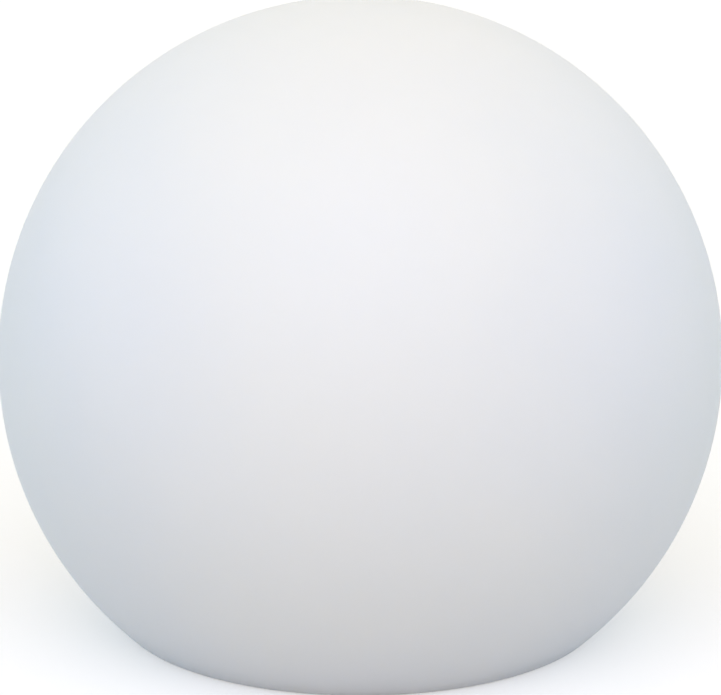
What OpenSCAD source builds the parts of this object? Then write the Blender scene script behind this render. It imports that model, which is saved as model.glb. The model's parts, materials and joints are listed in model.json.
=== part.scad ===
// Solar floating light: a milky globe that floats or stands on its flat base,
// with a sealed light module held in its neck by a bayonet ring.
// Origin at the centre of the standing plane, +Z up, millimetres.

/* [Globe] */
// Outer diameter of the globe
globe_d = 300; // [280:5:340]
// Diameter at which the globe's ball is cut off flat
base_d = 198; // [192:1:206]
// Wall of the globe
globe_wall = 3; // [2.5:0.25:4]
// Rounding where the globe turns under to its flat base
foot_round = 6; // [5:0.5:8]
// Rounding of the standing ring's inner edge
lip_round = 2.5; // [1.5:0.5:4]
// Height of the recess in the base
recess_h = 10; // [10:0.5:13]

/* [Neck collar] */
// Thickness of the collar's flange
collar_flange_t = 3.5; // [3:0.25:4.5]
// Wall of the collar's barrel
collar_wall = 3.5; // [3:0.25:5]
// Length of the bore that the module's seals run in
bore_l = 23; // [20:1:30]
// Thickness of the flat gaskets
gasket_t = 1; // [0.8:0.1:1.5]
// Number of collar screws
collar_screw_n = 6; // [4:1:8]
// Shank diameter of the collar screws
collar_screw_d = 3; // [2.5:0.5:4]
// Length of the collar screws under their heads
collar_screw_l = 12; // [10:1:14]

/* [Bayonet] */
// Number of lugs on the lock ring
lug_n = 3; // [2:1:4]
// Angle that one lug covers
lug_angle = 34; // [24:1:36]
// Turn from open to locked
lock_turn = 40; // [40:1:44]
// How far a lug reaches over its ledge
lug_reach = 2.8; // [2:0.2:4]
// Thickness of a lug and of its ledge
lug_t = 3; // [2.5:0.25:4]
// Width of the lock ring's wall
ring_w = 5.8; // [5:0.2:8]
// Width of the ring's hand flange outside the wall
hand_w = 6; // [4:0.5:7]
// Number of finger ribs under the hand flange
grip_n = 36; // [18:1:40]
// Height of a finger rib
grip_h = 1.5; // [1:0.25:2]
// Rounding of the edges that a hand meets
edge_round = 0.8; // [0.4:0.1:0.9]

/* [Light module] */
// Outer diameter of the module's barrel
module_d = 100; // [98:1:106]
// Wall of the module's cup
cup_wall = 4; // [3.75:0.25:4.5]
// Thickness of the cup's lower flange
cup_flange_t = 4.2; // [3.5:0.1:5]
// Height of the battery bay under the deck
battery_bay_h = 26; // [26:1:32]
// Thickness of the deck between the two bays
deck_t = 2.5; // [2:0.25:3.5]
// Height of the board bay above the deck
board_bay_h = 19; // [18:1:26]
// Section of the barrel's seals
barrel_seal_d = 2.2; // [2:0.1:2.4]
// Height of the cup's rim above the underside of the light board
cup_rim_h = 4.5; // [4:0.25:6]

/* [Base cover] */
// Overall height of the cover
cover_h = 8; // [7.5:0.25:8.5]
// Thickness of the cover's plate
plate_t = 3; // [2.5:0.25:3.5]
// Width of the land that the cover gasket sits on
cover_land = 3; // [2.5:0.25:4]
// Half of the cover screws' spacing across
cover_screw_x = 30; // [29:0.25:30.5]
// Half of the cover screws' spacing front to back
cover_screw_y = 17; // [14:0.5:17]
// Shank diameter of the small screws
small_screw_d = 2.6; // [2.2:0.1:2.8]
// Length of the cover screws under their heads
cover_screw_l = 14; // [10:1:18]

/* [Button] */
// Diameter of the button that a finger presses
button_d = 11.6; // [10:0.2:12]
// Distance of the button from the middle
button_y = 28; // [27.5:0.25:28.5]
// Travel of the button
button_travel = 1; // [0.6:0.1:1.2]
// Section of the button's seal
button_seal_d = 0.9; // [0.8:0.05:1]

/* [Mooring bail] */
// Diameter of the bail's wire
bail_wire_d = 3; // [2.5:0.25:3.5]
// Half of the distance between the bail's legs
bail_x = 11; // [10.5:0.25:11.5]
// Length of the bail's straight legs
bail_leg = 5; // [3:0.25:5]

/* [Batteries] */
// Diameter of one rechargeable cell
cell_d = 14.2; // [13.8:0.1:14.5]
// Length of one cell with its cap
cell_l = 50.5; // [48:0.5:50.5]
// Room for a spring at a cell's flat end
spring_l = 3.3; // [2.5:0.1:3.5]
// Wall of the battery holder
holder_wall = 1.7; // [1.2:0.1:2]
// Width of the ballast ring's band
ballast_w = 6.9; // [4:0.1:6.9]

/* [Boards and lights] */
// Thickness of the circuit boards
board_t = 1.6; // [1.2:0.1:2]
// Height of the control board above the deck
standoff_h = 5.5; // [4:0.5:6]
// Radius of the control board
control_r = 38; // [36:0.5:42]
// Number of lights
led_n = 12; // [6:1:12]
// Side of one light package
led_side = 5; // [3.5:0.25:5.5]
// Height of one light package
led_h = 1.5; // [1:0.1:2]
// Radius of the circle that the lights sit on
led_ring_r = 34.8; // [34.5:0.1:35]

/* [Solar panel] */
// Radius of the round solar panel
panel_r = 28.5; // [27.5:0.25:29]
// Width of one solar cell
solar_w = 8.6; // [7:0.1:8.8]
// Length of one solar cell
solar_l = 19; // [16:0.5:19]
// Gap between solar cells
solar_gap = 0.8; // [0.5:0.1:1]
// Solar cells across
solar_cols = 4; // [3:1:4]
// Thickness of the panel's window
window_t = 1.4; // [1:0.1:1.6]

/* [Lens] */
// Thickness of the lens
lens_t = 2; // [1.6:0.1:2.4]
// Rise of the lens's dome
dome_rise = 6; // [4:0.5:9]
// Width of the retainer's lip over the lens
lens_lip = 2; // [1.5:0.25:2.5]
// Number of retainer screws
retainer_screw_n = 6; // [4:1:8]

/* [Leads] */
// Diameter of an insulated lead
lead_d = 1.4; // [1.1:0.1:1.6]

/* [Hidden] */
$fn = 96;
eps = 0.01;
// Clearances
running_gap = 0.4;
slide_gap = 0.5;
piston_gap = 0.3;
face_gap = 0.2;
seal_gap = 0.1;
screw_gap = 0.05;
pin_gap = 0.05;

// Radii from the axis outwards
globe_r = globe_d / 2;
centre_h = sqrt(pow(globe_r, 2) - pow(base_d / 2, 2));
cup_r = module_d / 2;
cup_in_r = cup_r - cup_wall;
bore_r = cup_r + slide_gap;
cover_r = cup_in_r + cover_land;
cover_rim_w = 2.5;
cover_wall = 4;
ring_in_r = cover_r + running_gap;
ring_r = ring_in_r + ring_w;
ring_step_r = cover_r + cover_rim_w + running_gap;
ledge_r = ring_r + slide_gap;
lug_r = ledge_r + lug_reach;
chamber_r = lug_r + slide_gap;
barrel_r = chamber_r + collar_wall;
hole_r = barrel_r + slide_gap;
collar_screw_r = hole_r + 8;
collar_r = collar_screw_r + 7.5;
counterbore_h = 2.3;
recess_r = collar_r + 1.5;

// Heights of the neck, from the recess's ceiling down to the standing plane and up
collar_z0 = recess_h - gasket_t - collar_flange_t;
lead_in = 1.5;
ledge_z0 = collar_z0 + lead_in;
lug_z0 = ledge_z0 + lug_t + running_gap;
ring_z1 = lug_z0 + lug_t + running_gap;
cup_z0 = ring_z1 + face_gap;
shoulder_z = cup_z0 + cup_flange_t + 0.3;
collar_z1 = shoulder_z + bore_l;
seal_rise = 5;
seal_pitch = 8;
cover_z1 = cup_z0 - gasket_t;
cover_z0 = cover_z1 - cover_h;
plate_z0 = cover_z1 - plate_t;
rim_t = 2;
hand_t = 2;
ring_z0 = collar_z0 - slide_gap - hand_t;
grip_z0 = ring_z0 - grip_h;

// Heights inside the module
deck_z0 = cup_z0 + battery_bay_h;
deck_z1 = deck_z0 + deck_t;
control_z0 = deck_z1 + standoff_h;
control_z1 = control_z0 + board_t;
led_z0 = deck_z1 + board_bay_h;
led_z1 = led_z0 + board_t;
cup_z1 = led_z0 + cup_rim_h;
lens_z0 = cup_z1 + gasket_t;
lens_z1 = lens_z0 + lens_t;
retainer_t = 2;
retainer_z1 = lens_z1 + retainer_t;

// The cup's upper bore is a step narrower, and the light ring's flange lies on its end
upper_in_r = cup_in_r - 1;
insert_r = upper_in_r - slide_gap;
deck_ledge_w = 2;
deck_ledge_t = 2;
light_flange_t = 2;
tube_z1 = cup_z1 - light_flange_t;

// Dimples that show where the lock ring is open and where it is locked
mark_r = 1.2;
mark_depth = 0.5;
mark_turn = 90 + lock_turn / 2;

// The lens and what carries it
seat_r = cup_r - 9;
lens_r = seat_r + 3;
lens_open_r = lens_r - lens_lip;
retainer_screw_r = (lens_r + cup_r) / 2;
led_board_r = seat_r - slide_gap;
led_shelf_r = led_board_r - 1.5;
shelf_t = 3;
led_screw_r = led_shelf_r - 2.2;
reflector_t = 2.4;
reflector_seat = 1;

// The batteries
cell_n = 3;
cell_pitch = cell_d + 1.2;
holder_x = (cell_n * cell_pitch) / 2 + holder_wall - 0.6;
contact_t = 0.4;
bay_y = (cell_l + spring_l) / 2 + contact_t;
holder_y = bay_y + holder_wall;
cell_z = deck_z0 - holder_wall - cell_d / 2 - 0.2;
holder_z0 = cell_z - 3;
cap_h = 1.2;
cap_d = 5.4;
spring_wire_r = 0.35;
spring_r = 2.6;
spring_turns = 3;
post_r = 3.2;
board_post_x = 24;
board_post_y = 20;
board_post_r = 2.8;
holder_screw_y = 12;
contact_w = 10;
contact_h = 10;
ballast_r = cup_in_r - face_gap - 0.1;
ballast_in_r = ballast_r - ballast_w;
ballast_h = 18;
ballast_gap = 0.5;

// The small screws' heads and grips
cover_head_h = 1.8;
holder_head_h = 1.5;
holder_grip = 2;
holder_hole_room = 1.7;
board_head_h = 1.6;
board_grip = 3;
led_head_h = 1.3;
led_grip = 1.5;
retainer_head_h = 1.4;
retainer_sink = 1.6;
retainer_screw_l = 10;
tip_room = 2;
retainer_hole_z = retainer_z1 - retainer_sink - retainer_screw_l - tip_room;

// The places of the control board's parts
charge_chip_x = -14;
charge_chip_y = -4;
control_chip_x = 8;
control_chip_y = -10;
chip_w = 4;
charge_chip_l = 5;
control_chip_l = 9;
chip_h = 1.4;
inductor_x = -16;
inductor_y = -18;
inductor_r = 4;
inductor_h = 4.2;
capacitor_x = 18;
capacitor_y = 2;
capacitor_r = 3.4;
capacitor_h = 7.5;
capacitor_pitch = 9;
socket_l = 5;

// The button and its switch
sleeve_wall = 2.2;
piston_r = button_d / 2 + 1.2;
sleeve_in_r = piston_r + piston_gap;
sleeve_r = sleeve_in_r + sleeve_wall;
sleeve_z0 = cover_z0 + 2;
sleeve_lip = 1.5;
button_z0 = cover_z0 + 0.4;
piston_z0 = sleeve_z0 + sleeve_lip + piston_gap;
piston_z1 = piston_z0 + 4.6;
sleeve_z1 = piston_z1 + button_travel + 2;
switch_z0 = piston_z1 + button_travel + 2;
switch_side = 6;
switch_h = 3.6;
switch_board_z0 = switch_z0 + switch_h;
plunger_r = 1.4;
plunger_l = button_travel + 3;
switch_post_r = 2;
switch_post_x = sleeve_r + 1.2;
switch_board_x = switch_post_x + 3;
switch_board_y = 7;

// The mooring bail
bail_z = cover_z0 + 1.2;
bail_r = bail_wire_d / 2;
ear_t = 3.5;
ear_x = bail_x - bail_r - ear_t - 0.2;
ear_r = bail_r + 1.1;

// The leads
lead_r = lead_d / 2;
slot_y = holder_y + 4.5;
slot_x = 8;
notch_x = slot_x + 3;
notch_y = slot_y - 5;
panel_hole_r = 3.5;
socket_w = 6;
socket_y = 20;
socket_h = 5;
battery_socket_x = -4;
switch_socket_x = 4;
led_socket_x = 12;
panel_socket_x = -12;

// Shared shapes

// A flat ring
module washer(r_out, r_in, h) {
  difference() {
    cylinder(r = r_out, h = h);
    translate([0, 0, -1]) cylinder(r = r_in, h = h + 2);
  }
}

// The sharp corner of a profile outside an arc: right and up say which way the corner points
module corner_cut(corner, right, up, rounding) {
  centre = corner - rounding * [right, up];
  difference() {
    translate(centre - rounding * [1 - right, 1 - up]) square(2 * rounding);
    translate(centre) circle(r = rounding, $fn = 48);
  }
}

// A flat ring with chosen edges rounded
module soft_washer(r_out, r_in, h, out_low = 0, out_high = 0, in_low = 0, in_high = 0) {
  rotate_extrude() difference() {
    translate([r_in, 0]) square([r_out - r_in, h]);
    if (out_low > 0) corner_cut([r_out, 0], 1, -1, out_low);
    if (out_high > 0) corner_cut([r_out, h], 1, 1, out_high);
    if (in_low > 0) corner_cut([r_in, 0], -1, -1, in_low);
    if (in_high > 0) corner_cut([r_in, h], -1, 1, in_high);
  }
}

// Copies of the children on a circle
module on_circle(n, r, turn = 0) {
  for (i = [0:n - 1]) rotate([0, 0, turn + i * 360 / n]) translate([r, 0, 0]) children();
}

// A piece of a flat ring that covers an angle, centred on +X, under half a turn
module ring_sector(r_out, r_in, h, angle) {
  reach = r_out * 2;
  intersection() {
    washer(r_out, r_in, h);
    linear_extrude(h) polygon([
      [0, 0],
      reach * [cos(angle / 2), -sin(angle / 2)],
      reach * [1, 0],
      reach * [cos(angle / 2), sin(angle / 2)]
    ]);
  }
}

// A pan-head screw that points up, with its head below the plane of its seat
module screw_up(d, l, head_d, head_h) {
  translate([0, 0, -head_h]) soft_washer(head_d / 2, 0, head_h, out_low = head_h * 0.45);
  cylinder(d = d, h = l);
  translate([0, 0, l]) cylinder(d1 = d, d2 = d * 0.4, h = d * 0.5, $fn = 32);
}

// The head's cross recess, cut from below
module cross_recess(head_d, head_h) {
  for (a = [0, 90]) rotate([0, 0, a])
    translate([-head_d * 0.28, -head_d * 0.05, -head_h - 1])
      cube([head_d * 0.56, head_d * 0.1, 1 + head_h * 0.55]);
}

module pan_screw(d, l, head_d, head_h) {
  difference() {
    screw_up(d, l, head_d, head_h);
    cross_recess(head_d, head_h);
  }
}

// A round ring of round section
module seal_ring(r, section_r) {
  rotate_extrude() translate([r, 0]) circle(r = section_r, $fn = 32);
}

// An insulated lead along a few straight runs
module lead(points) {
  for (i = [0:len(points) - 2]) {
    run = points[i + 1] - points[i];
    length = norm(run);
    turn = acos(run[2] / length);
    heading = atan2(run[1], run[0]);
    translate(points[i]) rotate([0, turn, heading]) cylinder(r = lead_r, h = length, $fn = 24);
  }
  for (i = [1:1:len(points) - 2]) translate(points[i]) sphere(r = lead_r, $fn = 24);
}

// Globe

// Half section of a ball cut flat at floor_z, with its lower edge rounded
module cut_ball_section(r, floor_z, rounding) {
  fz = floor_z + rounding;
  fx = sqrt(pow(r - rounding, 2) - pow(centre_h - fz, 2));
  out = atan2(fz - centre_h, fx);
  reach = rounding * 4;
  difference() {
    intersection() {
      translate([0, centre_h]) circle(r = r, $fn = 240);
      translate([0, floor_z]) square([r + 1, centre_h + r]);
    }
    difference() {
      polygon([
        [fx, fz],
        [fx, fz] + reach * [cos(out), sin(out)],
        [fx + 2 * reach, floor_z - reach],
        [fx, floor_z - reach]
      ]);
      translate([fx, fz]) circle(r = rounding);
    }
  }
}

module shell_section() {
  difference() {
    cut_ball_section(globe_r, 0, foot_round);
    translate([-1, -1]) square([recess_r + 1, recess_h + 1]);
    translate([-1, 0]) square([hole_r + 1, recess_h + globe_wall + 1]);
    difference() {
      translate([recess_r - 1, -1]) square([lip_round + 1, lip_round + 1]);
      translate([recess_r + lip_round, lip_round]) circle(r = lip_round);
    }
    difference() {
      cut_ball_section(globe_r - globe_wall, globe_wall, foot_round - globe_wall);
      translate([-1, 0]) square([recess_r + globe_wall + 1, recess_h + globe_wall]);
    }
  }
}

module globe_shell() {
  screw_end = collar_z0 + counterbore_h + collar_screw_l + collar_screw_d / 2;
  boss_z0 = recess_h + globe_wall / 2;
  color("white") difference() {
    union() {
      rotate_extrude($fn = 240) shell_section();
      translate([0, 0, boss_z0]) on_circle(collar_screw_n, collar_screw_r)
        cylinder(r = collar_screw_d / 2 + 3.5, h = screw_end + 2.5 - boss_z0);
    }
    on_circle(collar_screw_n, collar_screw_r) translate([0, 0, recess_h - 1])
      cylinder(d = collar_screw_d + 2 * screw_gap, h = screw_end + 1.5 - recess_h);
  }
}

// Neck collar

module collar_gasket() {
  color("dimgray") translate([0, 0, recess_h - gasket_t]) difference() {
    washer(collar_r - 1, hole_r, gasket_t);
    on_circle(collar_screw_n, collar_screw_r)
      translate([0, 0, -1]) cylinder(d = collar_screw_d + 2 * slide_gap, h = gasket_t + 2);
  }
}

// One ledge between two gaps, centred on +X
module bayonet_ledge() {
  gap_angle = lug_angle + 6;
  ledge_angle = 360 / lug_n - gap_angle;
  translate([0, 0, ledge_z0]) ring_sector(chamber_r + 1, ledge_r, lug_t, ledge_angle);
}

// A stop block: a lug turns between two of them, open at one and locked at the other
module bayonet_stop(angle) {
  block_angle = 4;
  rotate([0, 0, angle]) translate([0, 0, ledge_z0 + lug_t / 2])
    ring_sector(chamber_r + 1, ledge_r + running_gap, lug_t * 1.5 + running_gap, block_angle);
}

module neck_collar() {
  stop_turn = lug_angle / 2 + 3.5;
  color("whitesmoke") difference() {
    union() {
      translate([0, 0, collar_z0])
        soft_washer(collar_r, chamber_r, collar_flange_t, out_low = edge_round, in_low = edge_round);
      translate([0, 0, collar_z0 + collar_flange_t / 2])
        washer(barrel_r, chamber_r, shoulder_z + collar_wall / 2 - collar_z0 - collar_flange_t / 2);
      translate([0, 0, shoulder_z]) soft_washer(barrel_r, bore_r, collar_wall, out_high = edge_round);
      translate([0, 0, shoulder_z + collar_wall / 2])
        soft_washer(bore_r + collar_wall, bore_r, collar_z1 - shoulder_z - collar_wall / 2,
          out_high = edge_round);
      for (i = [0:lug_n - 1]) rotate([0, 0, i * 360 / lug_n]) {
        rotate([0, 0, 180 / lug_n]) bayonet_ledge();
        bayonet_stop(lock_turn + stop_turn);
        bayonet_stop(-stop_turn);
      }
    }
    on_circle(collar_screw_n, collar_screw_r) translate([0, 0, collar_z0 - 1]) {
      cylinder(d = collar_screw_d + 2 * slide_gap, h = collar_flange_t + 2);
      cylinder(d = collar_screw_d * 2.3, h = counterbore_h + 1);
    }
    for (turn = [0, lock_turn]) rotate([0, 0, turn - mark_turn])
      translate([ring_r + hand_w + 3, 0, collar_z0 - 1]) cylinder(r = mark_r, h = 1 + mark_depth);
  }
}

module collar_screws() {
  color("silver") on_circle(collar_screw_n, collar_screw_r) translate([0, 0, collar_z0 + counterbore_h])
    pan_screw(collar_screw_d, collar_screw_l, collar_screw_d * 2, collar_screw_d * 0.65);
}

// Module case

function barrel_seal_z(i) = shoulder_z + seal_rise + seal_pitch * i;

// The cup's tube with its lower flange and the ledge that the deck plate sits on
module module_cup() {
  groove_h = barrel_seal_d + 0.4;
  color("gainsboro") difference() {
    union() {
      translate([0, 0, cup_z0 + cup_flange_t / 2])
        washer(cup_r, cup_in_r, tube_z1 - cup_z0 - cup_flange_t / 2);
      translate([0, 0, cup_z0])
        soft_washer(ring_r, cup_in_r, cup_flange_t, out_low = edge_round / 2, out_high = edge_round);
      translate([0, 0, deck_z0 - deck_ledge_t])
        washer(cup_in_r + 1, cup_in_r - deck_ledge_w, deck_ledge_t);
      translate([0, 0, deck_z0 - eps]) washer(cup_in_r + 1, upper_in_r, tube_z1 - deck_z0 + eps);
    }
    for (i = [0, 1]) translate([0, 0, barrel_seal_z(i) - groove_h / 2])
      washer(cup_r + 1, bore_r - seal_gap - barrel_seal_d - screw_gap, groove_h);
    on_circle(retainer_screw_n, retainer_screw_r) translate([0, 0, retainer_hole_z])
      cylinder(d = small_screw_d + 2 * screw_gap, h = tube_z1 - retainer_hole_z + 1);
  }
}

// A slot with round ends through the deck for the leads
module lead_slot(h) {
  for (x = [-1, 1]) translate([x * slot_x, slot_y, 0]) cylinder(r = 3, h = h);
  translate([-slot_x, slot_y - 3, 0]) cube([2 * slot_x, 6, h]);
}

// The plate between the two bays. The cover's screws pull its lower posts, and so hold it on its
// ledge; its upper posts carry the control board
module deck_plate() {
  color("gainsboro") difference() {
    union() {
      translate([0, 0, deck_z0]) cylinder(r = insert_r, h = deck_t);
      for (x = [-1, 1], y = [-1, 1]) {
        translate([x * cover_screw_x, y * cover_screw_y, cover_z1 + face_gap])
          cylinder(r = post_r, h = deck_z0 - cover_z1);
        translate([x * board_post_x, y * board_post_y, deck_z1 - eps])
          cylinder(r = board_post_r, h = standoff_h + eps);
      }
    }
    for (x = [-1, 1], y = [-1, 1]) {
      translate([x * cover_screw_x, y * cover_screw_y, cover_z1])
        cylinder(d = small_screw_d + 2 * screw_gap, h = cover_screw_l);
      translate([x * board_post_x, y * board_post_y, deck_z1 - 1])
        cylinder(d = small_screw_d + 2 * screw_gap, h = standoff_h + 2);
    }
    at_holder_screws() translate([0, 0, deck_z0 - 1])
      cylinder(d = small_screw_d + 2 * slide_gap, h = deck_t + 2);
    translate([0, 0, deck_z0 - 1]) lead_slot(deck_t + 2);
  }
}

// Three places between lights, where the light board and its reflector are screwed down
module at_led_screws() {
  for (k = [0, floor(led_n / 3), floor(2 * led_n / 3)])
    rotate([0, 0, led_turn + 360 / led_n * (k + 0.5)]) translate([led_screw_r, 0, 0]) children();
}

// The ring in the cup's end: a shelf for the light board, a seat for the lens and a flange that
// the retainer's screws clamp to the cup
module light_ring() {
  color("gainsboro") difference() {
    union() {
      translate([0, 0, tube_z1]) washer(cup_r, seat_r, light_flange_t);
      translate([0, 0, led_z0 - eps]) washer(insert_r, seat_r, cup_z1 - led_z0 + eps);
      translate([0, 0, led_z0 - shelf_t]) washer(insert_r, led_shelf_r, shelf_t);
      at_led_screws() translate([0, 0, led_z0 - shelf_t]) cylinder(r = 3.2, h = shelf_t);
    }
    at_led_screws() translate([0, 0, led_z0 - shelf_t - 1])
      cylinder(d = small_screw_d + 2 * screw_gap, h = shelf_t + 2);
    on_circle(retainer_screw_n, retainer_screw_r) translate([0, 0, tube_z1 - 1])
      cylinder(d = small_screw_d + 2 * slide_gap, h = light_flange_t + 2);
  }
}

module barrel_o_rings() {
  section_r = barrel_seal_d / 2;
  color("black") for (i = [0, 1]) translate([0, 0, barrel_seal_z(i)])
    seal_ring(bore_r - seal_gap - section_r, section_r);
}

module base_cover() {
  color("gainsboro") difference() {
    union() {
      translate([0, 0, plate_z0]) cylinder(r = cover_r, h = plate_t);
      translate([0, 0, cover_z0 + rim_t / 2]) washer(cover_r, cover_r - cover_wall, cover_h - rim_t / 2);
      translate([0, 0, cover_z0])
        soft_washer(cover_r + cover_rim_w, cover_r - cover_wall, rim_t,
          out_low = edge_round, in_low = edge_round);
      translate([0, button_y, sleeve_z0])
        soft_washer(sleeve_r, 0, sleeve_z1 - sleeve_z0, out_low = edge_round);
      for (x = [-1, 1]) {
        translate([x * switch_post_x, button_y, cover_z1 - eps])
          cylinder(r = switch_post_r, h = switch_board_z0 - cover_z1 + eps);
        translate([x * (ear_x + ear_t / 2) - ear_t / 2, -ear_r, bail_z])
          cube([ear_t, 2 * ear_r, plate_z0 - bail_z + 1]);
        translate([x * (ear_x + ear_t / 2) - ear_t / 2, 0, bail_z])
          rotate([0, 90, 0]) cylinder(r = ear_r, h = ear_t);
      }
    }
    translate([0, button_y, sleeve_z0 + sleeve_lip]) cylinder(r = sleeve_in_r, h = sleeve_z1);
    translate([0, button_y, sleeve_z0 - 1]) cylinder(d = button_d + 0.6, h = sleeve_z1);
    translate([-20, 0, bail_z]) rotate([0, 90, 0]) cylinder(r = bail_r + pin_gap, h = 40);
    for (x = [-1, 1], y = [-1, 1])
      translate([x * cover_screw_x, y * cover_screw_y, plate_z0 - 1])
        cylinder(d = small_screw_d + 2 * slide_gap, h = plate_t + 2);
    for (x = [-1, 1]) translate([x * switch_post_x, button_y, cover_z1 + 1])
      cylinder(r = 0.95, h = switch_board_z0);
  }
}

module cover_gasket() {
  color("dimgray") translate([0, 0, cover_z1]) washer(cover_r, cup_in_r + 0.2, gasket_t);
}

module cover_screws() {
  color("silver") for (x = [-1, 1], y = [-1, 1])
    translate([x * cover_screw_x, y * cover_screw_y, plate_z0])
      pan_screw(small_screw_d, cover_screw_l, small_screw_d * 2.1, cover_head_h);
}

// The ring is notched wherever a post, the button's sleeve, its board or the holder would meet it
module ballast_ring() {
  gap = ballast_gap;
  color("slategray") difference() {
    translate([0, 0, cover_z1]) washer(ballast_r, ballast_in_r, ballast_h);
    for (x = [-1, 1], y = [-1, 1]) translate([x * cover_screw_x, y * cover_screw_y, cover_z1 - 1])
      cylinder(r = post_r + gap, h = ballast_h + 2);
    translate([0, button_y, cover_z1 - 1]) cylinder(r = sleeve_r + gap, h = ballast_h + 2);
    translate([-switch_board_x - gap, button_y - switch_board_y - gap, cover_z1 - 1])
      cube([2 * (switch_board_x + gap), 2 * (switch_board_y + gap), ballast_h + 2]);
    translate([-holder_x - gap, -holder_y - gap, cell_z - cell_d / 2 - gap])
      cube([2 * (holder_x + gap), 2 * (holder_y + gap), ballast_h]);
  }
}

// Batteries

function cell_x(i) = (i - (cell_n - 1) / 2) * cell_pitch;

// A cell's direction: 1 where its cap points to +Y
function cell_way(i) = i % 2 == 0 ? 1 : -1;

// The holder's two screws go into the solid webs between the cells
module at_holder_screws() {
  for (side = [-1, 1]) translate([side * cell_pitch / 2, side * holder_screw_y, 0]) children();
}

module battery_holder() {
  bay_w = cell_d + 0.6;
  color("black") difference() {
    translate([-holder_x, -holder_y, holder_z0])
      cube([2 * holder_x, 2 * holder_y, deck_z0 - holder_z0]);
    for (i = [0:cell_n - 1]) {
      translate([cell_x(i), bay_y, cell_z]) rotate([90, 0, 0]) cylinder(d = bay_w, h = 2 * bay_y);
      translate([cell_x(i) - bay_w / 2, -bay_y, holder_z0 - 1])
        cube([bay_w, 2 * bay_y, cell_z - holder_z0 + 1]);
    }
    at_holder_screws() translate([0, 0, deck_z0 - holder_grip - holder_hole_room])
      cylinder(d = small_screw_d + 2 * screw_gap, h = holder_grip + holder_hole_room + 1);
  }
}

module battery_cell(i) {
  way = cell_way(i);
  color(i == 1 ? "seagreen" : "mediumseagreen") translate([cell_x(i), way * (bay_y - contact_t), cell_z])
    rotate([way * 90, 0, 0]) {
      cylinder(d = cap_d, h = cap_h + 1);
      translate([0, 0, cap_h]) cylinder(d = cell_d, h = cell_l - cap_h);
    }
}

// The coil's centre line, from a flat end at z = 0 to another at z = length
function coil_point(t, r, length) =
  [r * cos(360 * spring_turns * t), r * sin(360 * spring_turns * t), length * t];

// Rings of points round the coil's line; each ring is square to the line's slope
function coil_ring(t, r, length, sides) =
  let (
    a = 360 * spring_turns * t,
    out = [cos(a), sin(a), 0],
    rise = length / (2 * PI * r * spring_turns),
    up = [sin(a) * rise, -cos(a) * rise, 1] / sqrt(1 + rise * rise),
    p = coil_point(t, r, length)
  ) [for (k = [0:sides - 1]) p + spring_wire_r * (cos(360 * k / sides) * out + sin(360 * k / sides) * up)];

module coil(r, length) {
  sides = 6;
  rings = 10 * spring_turns;
  points = [for (i = [0:rings]) each coil_ring(i / rings, r, length, sides)];
  walls = [for (i = [0:rings - 1], k = [0:sides - 1])
    let (a = i * sides + k, b = i * sides + (k + 1) % sides)
      each [[a, a + sides, b + sides], [a, b + sides, b]]];
  first = [for (k = [1:sides - 2]) [0, k, k + 1]];
  last = [for (k = [1:sides - 2]) let (s = rings * sides) [s, s + k + 1, s + k]];
  polyhedron(points = points, faces = concat(walls, first, last));
}

module cell_springs() {
  room = spring_l - 2 * spring_wire_r - 0.1;
  color("silver") for (i = [0:cell_n - 1]) {
    way = cell_way(i);
    translate([cell_x(i), way * (contact_t - bay_y + spring_wire_r + 0.05), cell_z])
      rotate([-way * 90, 0, 0]) coil(spring_r, room);
  }
}

module cell_contacts() {
  color("lightgray") for (i = [0:cell_n - 1], side = [-1, 1])
    translate([cell_x(i), side * (bay_y - contact_t / 2), cell_z])
      translate([-contact_w / 2, -contact_t / 2, -contact_h / 2])
        cube([contact_w, contact_t, contact_h]);
}

module holder_screws() {
  color("silver") at_holder_screws() translate([0, 0, deck_z1]) rotate([180, 0, 0])
    pan_screw(small_screw_d, deck_t + holder_grip, small_screw_d * 2, holder_head_h);
}

// Button and switch

module switch_board() {
  color("darkgreen") difference() {
    translate([-switch_board_x, button_y - switch_board_y, switch_board_z0])
      cube([2 * switch_board_x, 2 * switch_board_y, board_t]);
    for (x = [-1, 1]) translate([x * switch_post_x, button_y, switch_board_z0 - 1])
      cylinder(r = 1.1, h = board_t + 2);
  }
}

module switch_body() {
  color("black") translate([0, button_y, switch_board_z0 - switch_h]) difference() {
    translate([-switch_side / 2, -switch_side / 2, 0]) cube([switch_side, switch_side, switch_h]);
    translate([0, 0, -1]) cylinder(r = plunger_r + piston_gap, h = switch_h);
  }
}

module switch_screws() {
  color("silver") for (x = [-1, 1])
    translate([x * switch_post_x, button_y, switch_board_z0 + board_t]) rotate([180, 0, 0])
      pan_screw(1.8, 4.5, 3.6, 1.1);
}

module button_cap() {
  groove_h = button_seal_d + 0.3;
  color("steelblue") translate([0, button_y, 0]) difference() {
    union() {
      translate([0, 0, button_z0])
        soft_washer(button_d / 2, 0, piston_z0 - button_z0 + 1, out_low = edge_round);
      translate([0, 0, piston_z0]) cylinder(r = piston_r, h = piston_z1 - piston_z0);
    }
    translate([0, 0, (piston_z0 + piston_z1 - groove_h) / 2])
      washer(piston_r + 1, sleeve_in_r - seal_gap - button_seal_d - screw_gap, groove_h);
    translate([0, 0, button_z0 - 40 + 0.6]) sphere(r = 40, $fn = 120);
  }
}

module button_o_ring() {
  section_r = button_seal_d / 2;
  color("black") translate([0, button_y, (piston_z0 + piston_z1) / 2])
    seal_ring(sleeve_in_r - seal_gap - section_r, section_r);
}

module switch_plunger() {
  color("ivory") translate([0, button_y, piston_z1]) cylinder(r = plunger_r, h = plunger_l);
}

// Control board

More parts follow.
